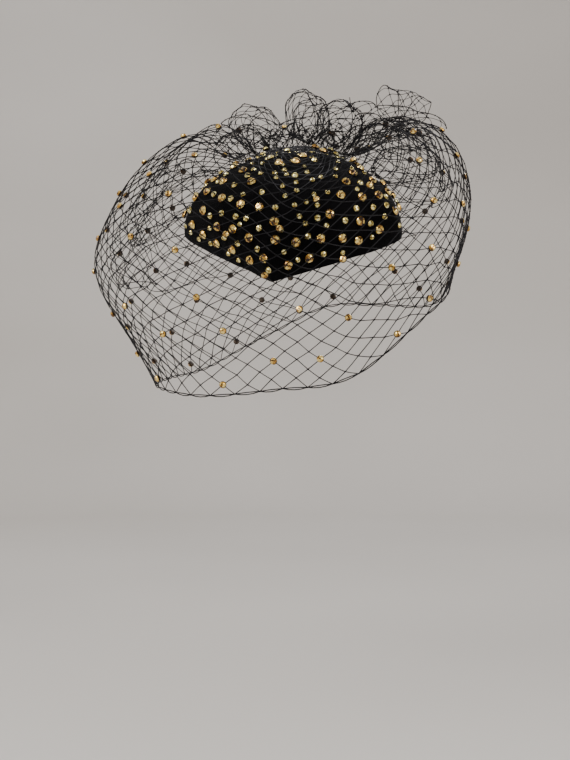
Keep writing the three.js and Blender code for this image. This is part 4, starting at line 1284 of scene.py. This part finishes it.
def frill_table(size, seed):
    """Places of the frill, along its foot and up to its top."""
    p = rng(seed).uniform(0, 2 * math.pi, 4)
    u = np.linspace(0, 1, FRILL_ALONGS)[:, None]
    v = np.linspace(0, 1, FRILL_UPS)[None]
    azimuth = size["start"] + (size["stop"] - size["start"]) * u
    foot = gather_point(azimuth, size["out"] + 0.04 * np.sin(6 * u + p[0]), 0.5)
    a = np.radians(azimuth)[..., None]
    outward = np.concatenate([np.sin(a), -np.cos(a), 0 * a], -1)
    along = np.concatenate([np.cos(a), np.sin(a), 0 * a], -1)
    phase = 2 * math.pi * size["folds"] * u
    uneven = 0.80 + 0.12 * np.sin(phase + p[1]) + 0.10 * np.sin(2.3 * phase + p[2])
    high = size["height"] * np.sin(math.pi * u) ** 0.35 * uneven
    curl = size["wave"] * np.sin(phase + p[3] + 1.2 * v) * v ** 0.8
    shove = size["wave"] * 0.8 * np.cos(phase + p[3]) * v
    out_by = size["lean"] * v ** 1.6 + curl
    rise = high * np.sin(v * math.pi / 2)
    moved = out_by[..., None] * outward + shove[..., None] * along + rise[..., None] * [0, 0, 1.0]
    return foot + moved * MM


table = frill_table(FRILL, 700)
frill_patches = [(table, *cells_for(table, *FRILL_CELL), False)]
print("frill:", frill_patches[0][1], "by", frill_patches[0][2], "diamonds")

# %% Longer sheets that stand right across
SHEET_TOP = np.array([  # x, y and z of the highest sheet's top edge, in millimetres
    [-64, 24, 82], [-52, 28, 92], [-42, 30, 97], [-31, 30, 93], [-20, 30, 88], [-9, 30, 88], [3, 30, 92],
    [14, 30, 95], [25, 30, 97], [37, 30, 98], [48, 32, 101], [58, 34, 99], [72, 36, 97], [86, 38, 95],
    [97, 38, 90], [107, 36, 81],
])
# first place along that edge, y and z against it (mm), how many folds, length of a cell (mm)
SHEETS = [(0, 0, 0, 7, 14.0), (0, 12, -6, 8, 15.0), (8, -9, -20, 4, 15.0)]
SHEET_WAVE, SHEET_CELL_TALL, FOOT_DRAWN_IN = 0.0045, 0.92, 0.72
SHEET_MIDDLE = np.array([8.0, 4.0])
SHEET_ALONGS, SHEET_UPS = 181, 33
SMALLER_LOOP = dict(size=0.80, lean=11.0, ruffle=1.0)


def ground(x, y):
    """The top of the gather, or of the veil beside it, over a place in plan."""
    azimuth, from_axis = seen_from_gather(x, y)
    on_gather = from_axis < fold_at(azimuth)[0, 0]
    return dome_top(x, y, GATHER_LIFT + GATHER_MEAN) if on_gather else veil_top(x, y)


def standing_sheet(first, y_shift, z_shift, folds, seed):
    """Places of a sheet, along its foot and up to its top."""
    top = SHEET_TOP[first:] + [0, y_shift, z_shift]
    in_plan = SHEET_MIDDLE + (top[:, :2] - SHEET_MIDDLE) * FOOT_DRAWN_IN
    feet = np.array([ground(*place) for place in in_plan * MM])
    u = np.linspace(0, 1, SHEET_ALONGS)
    v = np.linspace(0, 1, SHEET_UPS)[None, :, None]
    top, feet = (smooth_run(path[None], u)[0][:, None] for path in (top * MM, feet))
    phase = (2 * math.pi * folds * u + rng(seed).uniform(0, 2 * math.pi))[:, None, None]
    swing = np.concatenate([0.7 * np.cos(phase), np.sin(phase), 0 * phase], -1)
    return feet + (top - feet) * np.sin(v * math.pi / 2) ** 0.9 + swing * v ** 0.8 * SHEET_WAVE


for k, (*shape, cell) in enumerate(SHEETS):
    table = standing_sheet(*shape, 730 + k)
    frill_patches.append((table, *cells_for(table, cell * MM, SHEET_CELL_TALL * cell * MM), False))

# a smaller loop inside the middle one, turned a little
table = loop_table(LOOPS[0], **SMALLER_LOOP)
frill_patches.append((table, *cells_for(table, *FRILL_CELL), False))
frills = patches_mesh("net_frills", frill_patches, 300, FRILL_STRAND)

# %% [markdown]
# ## A second layer inside the balloons
#
# The strip is long enough to lap over itself at the back and sides. There one looks through a front
# and a back layer that don't line up, and their cells cut each other into small triangles.

# %% The inner layer
CENTRE_OF_HAT = np.array([0.008, 0.012, 0.010])
INNER_INSET, INNER_WAVES, INNER_OVER_VELVET = 0.10, 0.0030, 0.001
INNER_TURNS, INNER_DOWNS = 181, 73
INNER_CELL, INNER_STRAND = (0.0185, 0.0165), 0.00050
# from and to (turns round from the back by the left), from and to (down), seed
LAYERS = [(-0.13, 0.36, 0.30, 0.72, 41), (0.64, 0.95, 0.26, 0.60, 42)]


def inner_layer(turn_from, turn_to, down_from, down_to, seed):
    """A stretch of the veil's own form, drawn in towards the hat's middle and folded."""
    turn = np.linspace(turn_from, turn_to, INNER_TURNS)[:, None] % 1.0
    down = np.linspace(down_from, down_to, INNER_DOWNS)[None]
    places = read_surface(veil_places, *np.broadcast_arrays(turn, down))
    p = rng(seed).uniform(0, 2 * math.pi, 2)
    a = 2 * math.pi * turn
    fold = INNER_WAVES * (np.sin(9 * a + 5 * down + p[0]) + 0.7 * np.sin(17 * a - 8 * down + p[1]))
    keep = 1 - INNER_INSET * np.minimum(1, down * 5)
    away = places - CENTRE_OF_HAT
    folded = unit(away) * (fold * np.minimum(1, down * 4))[..., None]
    return clear_of_dome(CENTRE_OF_HAT + away * keep[..., None] + folded, OVER_VELVET + INNER_OVER_VELVET)


tables = [inner_layer(*row) for row in LAYERS]
inner_patches = [(table, *cells_for(table, *INNER_CELL), False) for table in tables]
inner_net = patches_mesh("net_inner_layers", inner_patches, 600, INNER_STRAND)

# %% [markdown]
# ## The knots that hold the loops, and loose ends
#
# Each loop's two ends are bound together by a few turns of fine cord. And nobody trims every end:
# some cut strands stand up from a loop's edge, and a few pale ends of sewing thread curl out.

# %% Bindings at the feet of the loops
BINDING, BINDING_ROUND, BINDING_WIDE = 0.0006, 0.0014, 0.5  # cord, its turns' radius, share of the foot
BINDING_TURNS, BINDING_STEPS, BINDING_SIDES = 5, 14, 6


def binding(row):
    """A few turns of cord round a loop's foot."""
    foot, out, width, side = loop_stand(row)
    t = np.linspace(0, 1, BINDING_TURNS * BINDING_STEPS + 1)[:, None]
    a = 2 * math.pi * BINDING_TURNS * t
    reach = row["foot_half"] * MM * BINDING_WIDE
    return foot + width * reach * (2 * t - 1) + (side * np.cos(a) + out * np.sin(a)) * BINDING_ROUND


points, *faces = tubes([binding(row) for row in LOOPS], BINDING / 2, BINDING_SIDES)
cover("loop_bindings", points, faces, net_black)

# %% Cut strands and ends of sewing thread
CUT_ENDS = 10
LOW_LOOP = LOOPS[3]


def cut_strands():
    """Short stiff ends that stand up from the low loop's right shoulder."""
    random = rng(71)
    table = loop_table(LOW_LOOP)
    t = np.linspace(0, 1, 6)[:, None]
    runs = []
    for _ in range(CUT_ENDS):
        start = read_surface(table, random.uniform(0.30, 0.44), random.choice([0.0, 0.98, 0.9]), False)
        way = direction(random.uniform(-120, 120), random.uniform(35, 85))
        bow = direction(random.uniform(-180, 180), 0) * random.uniform(0.0004, 0.0014)
        runs.append(start + way * random.uniform(0.003, 0.0075) * t + bow * t * t)
    return runs


points, *faces = tubes(cut_strands(), STRAND / 2)
cover("cut_strands", points, faces, net_black)

pale, tree, shader = new_material("pale_thread", (0.55, 0.52, 0.48), 0.6, Specular_IOR_Level=0.3)
ply = pattern(tree, "Wave", Scale=900.0, Distortion=2.0)
color_by(tree, shader, ply, [(0.2, (0.42, 0.39, 0.36)), (0.8, (0.68, 0.65, 0.61))])
add_bump(tree, shader, ply, FINE_BUMP, 0.5)

THREAD, THREAD_STEPS = 0.00028, 28
# where each loose end starts (turn, share of the way down) and its size
CURLS = [(0.235, 0.80, 0.0035), (0.10, 0.05, 0.003), (0.27, 0.50, 0.004), (0.30, 0.62, 0.0035),
         (0.81, 0.35, 0.003)]
STITCH_FROM, STITCH_TO, STITCH_SAG = [0.0, 0.0204, 0.0715], [0.0502, 0.0314, 0.0715], 0.0006


def curl(turn, down, size, seed):
    """A loose end that starts at the net and curls about one and a half times."""
    random = rng(seed)
    start = read_surface(veil_places, turn, down)
    out = facing(veil_places, np.array([turn]), np.array([down]))[0]
    a0, twist = random.uniform(0, 6.28), random.uniform(5, 9)
    t = np.linspace(0, 1, THREAD_STEPS)[:, None]
    other = unit(np.cross(out, [0.0, 0.0, 1.0]))
    third = np.cross(out, other)
    a = a0 + twist * t
    round_it = other * (np.cos(a) - math.cos(a0)) + third * (np.sin(a) - math.sin(a0))
    return start + round_it * size * (0.4 + 0.6 * t) + third * size * 1.6 * t


threads = [curl(*row, 80 + k) for k, row in enumerate(CURLS)]
sag = STITCH_SAG * np.sin(np.linspace(0, math.pi, THREAD_STEPS))[:, None]
threads.append(np.linspace(STITCH_FROM, STITCH_TO, THREAD_STEPS) - sag * [0, 0, 1.0])
points, *faces = tubes(threads, THREAD / 2)
cover("thread_ends", points, faces, pale)
print("loose ends:", CUT_ENDS, "of net and", len(CURLS) + 1, "of thread")

# %% [markdown]
# ## The comb
#
# Out of sight under the pointed front a small moulded comb slides into the hair. It keeps the
# construction model's own form, with its sharp edges rounded as a mould leaves them.

# %% The comb in black plastic
COMB_ROUNDING = 0.00025

comb_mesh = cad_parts["comb"].data.copy()
comb_mesh.materials.clear()
plastic, tree, shader = new_material("comb_plastic", (0.02, 0.016, 0.014), 0.32, Specular_IOR_Level=0.5)
flow = pattern(tree, "Noise", Scale=160.0, Detail=3.0)
color_by(tree, shader, flow, [(0.35, (0.013, 0.010, 0.009)), (0.7, (0.034, 0.026, 0.022))])
add_bump(tree, shader, flow, FINE_BUMP, 0.4)
comb_mesh.materials.append(plastic)
comb = bpy.data.objects.new("comb_moulded", comb_mesh)
bpy.context.scene.collection.objects.link(comb)
rounding = comb.modifiers.new("rounding", "BEVEL")
rounding.width = COMB_ROUNDING
rounding.segments = 2
rounding.limit_method = "ANGLE"
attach(comb, "root")
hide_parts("comb")
print("comb_moulded: edges rounded by", COMB_ROUNDING / MM, "mm")
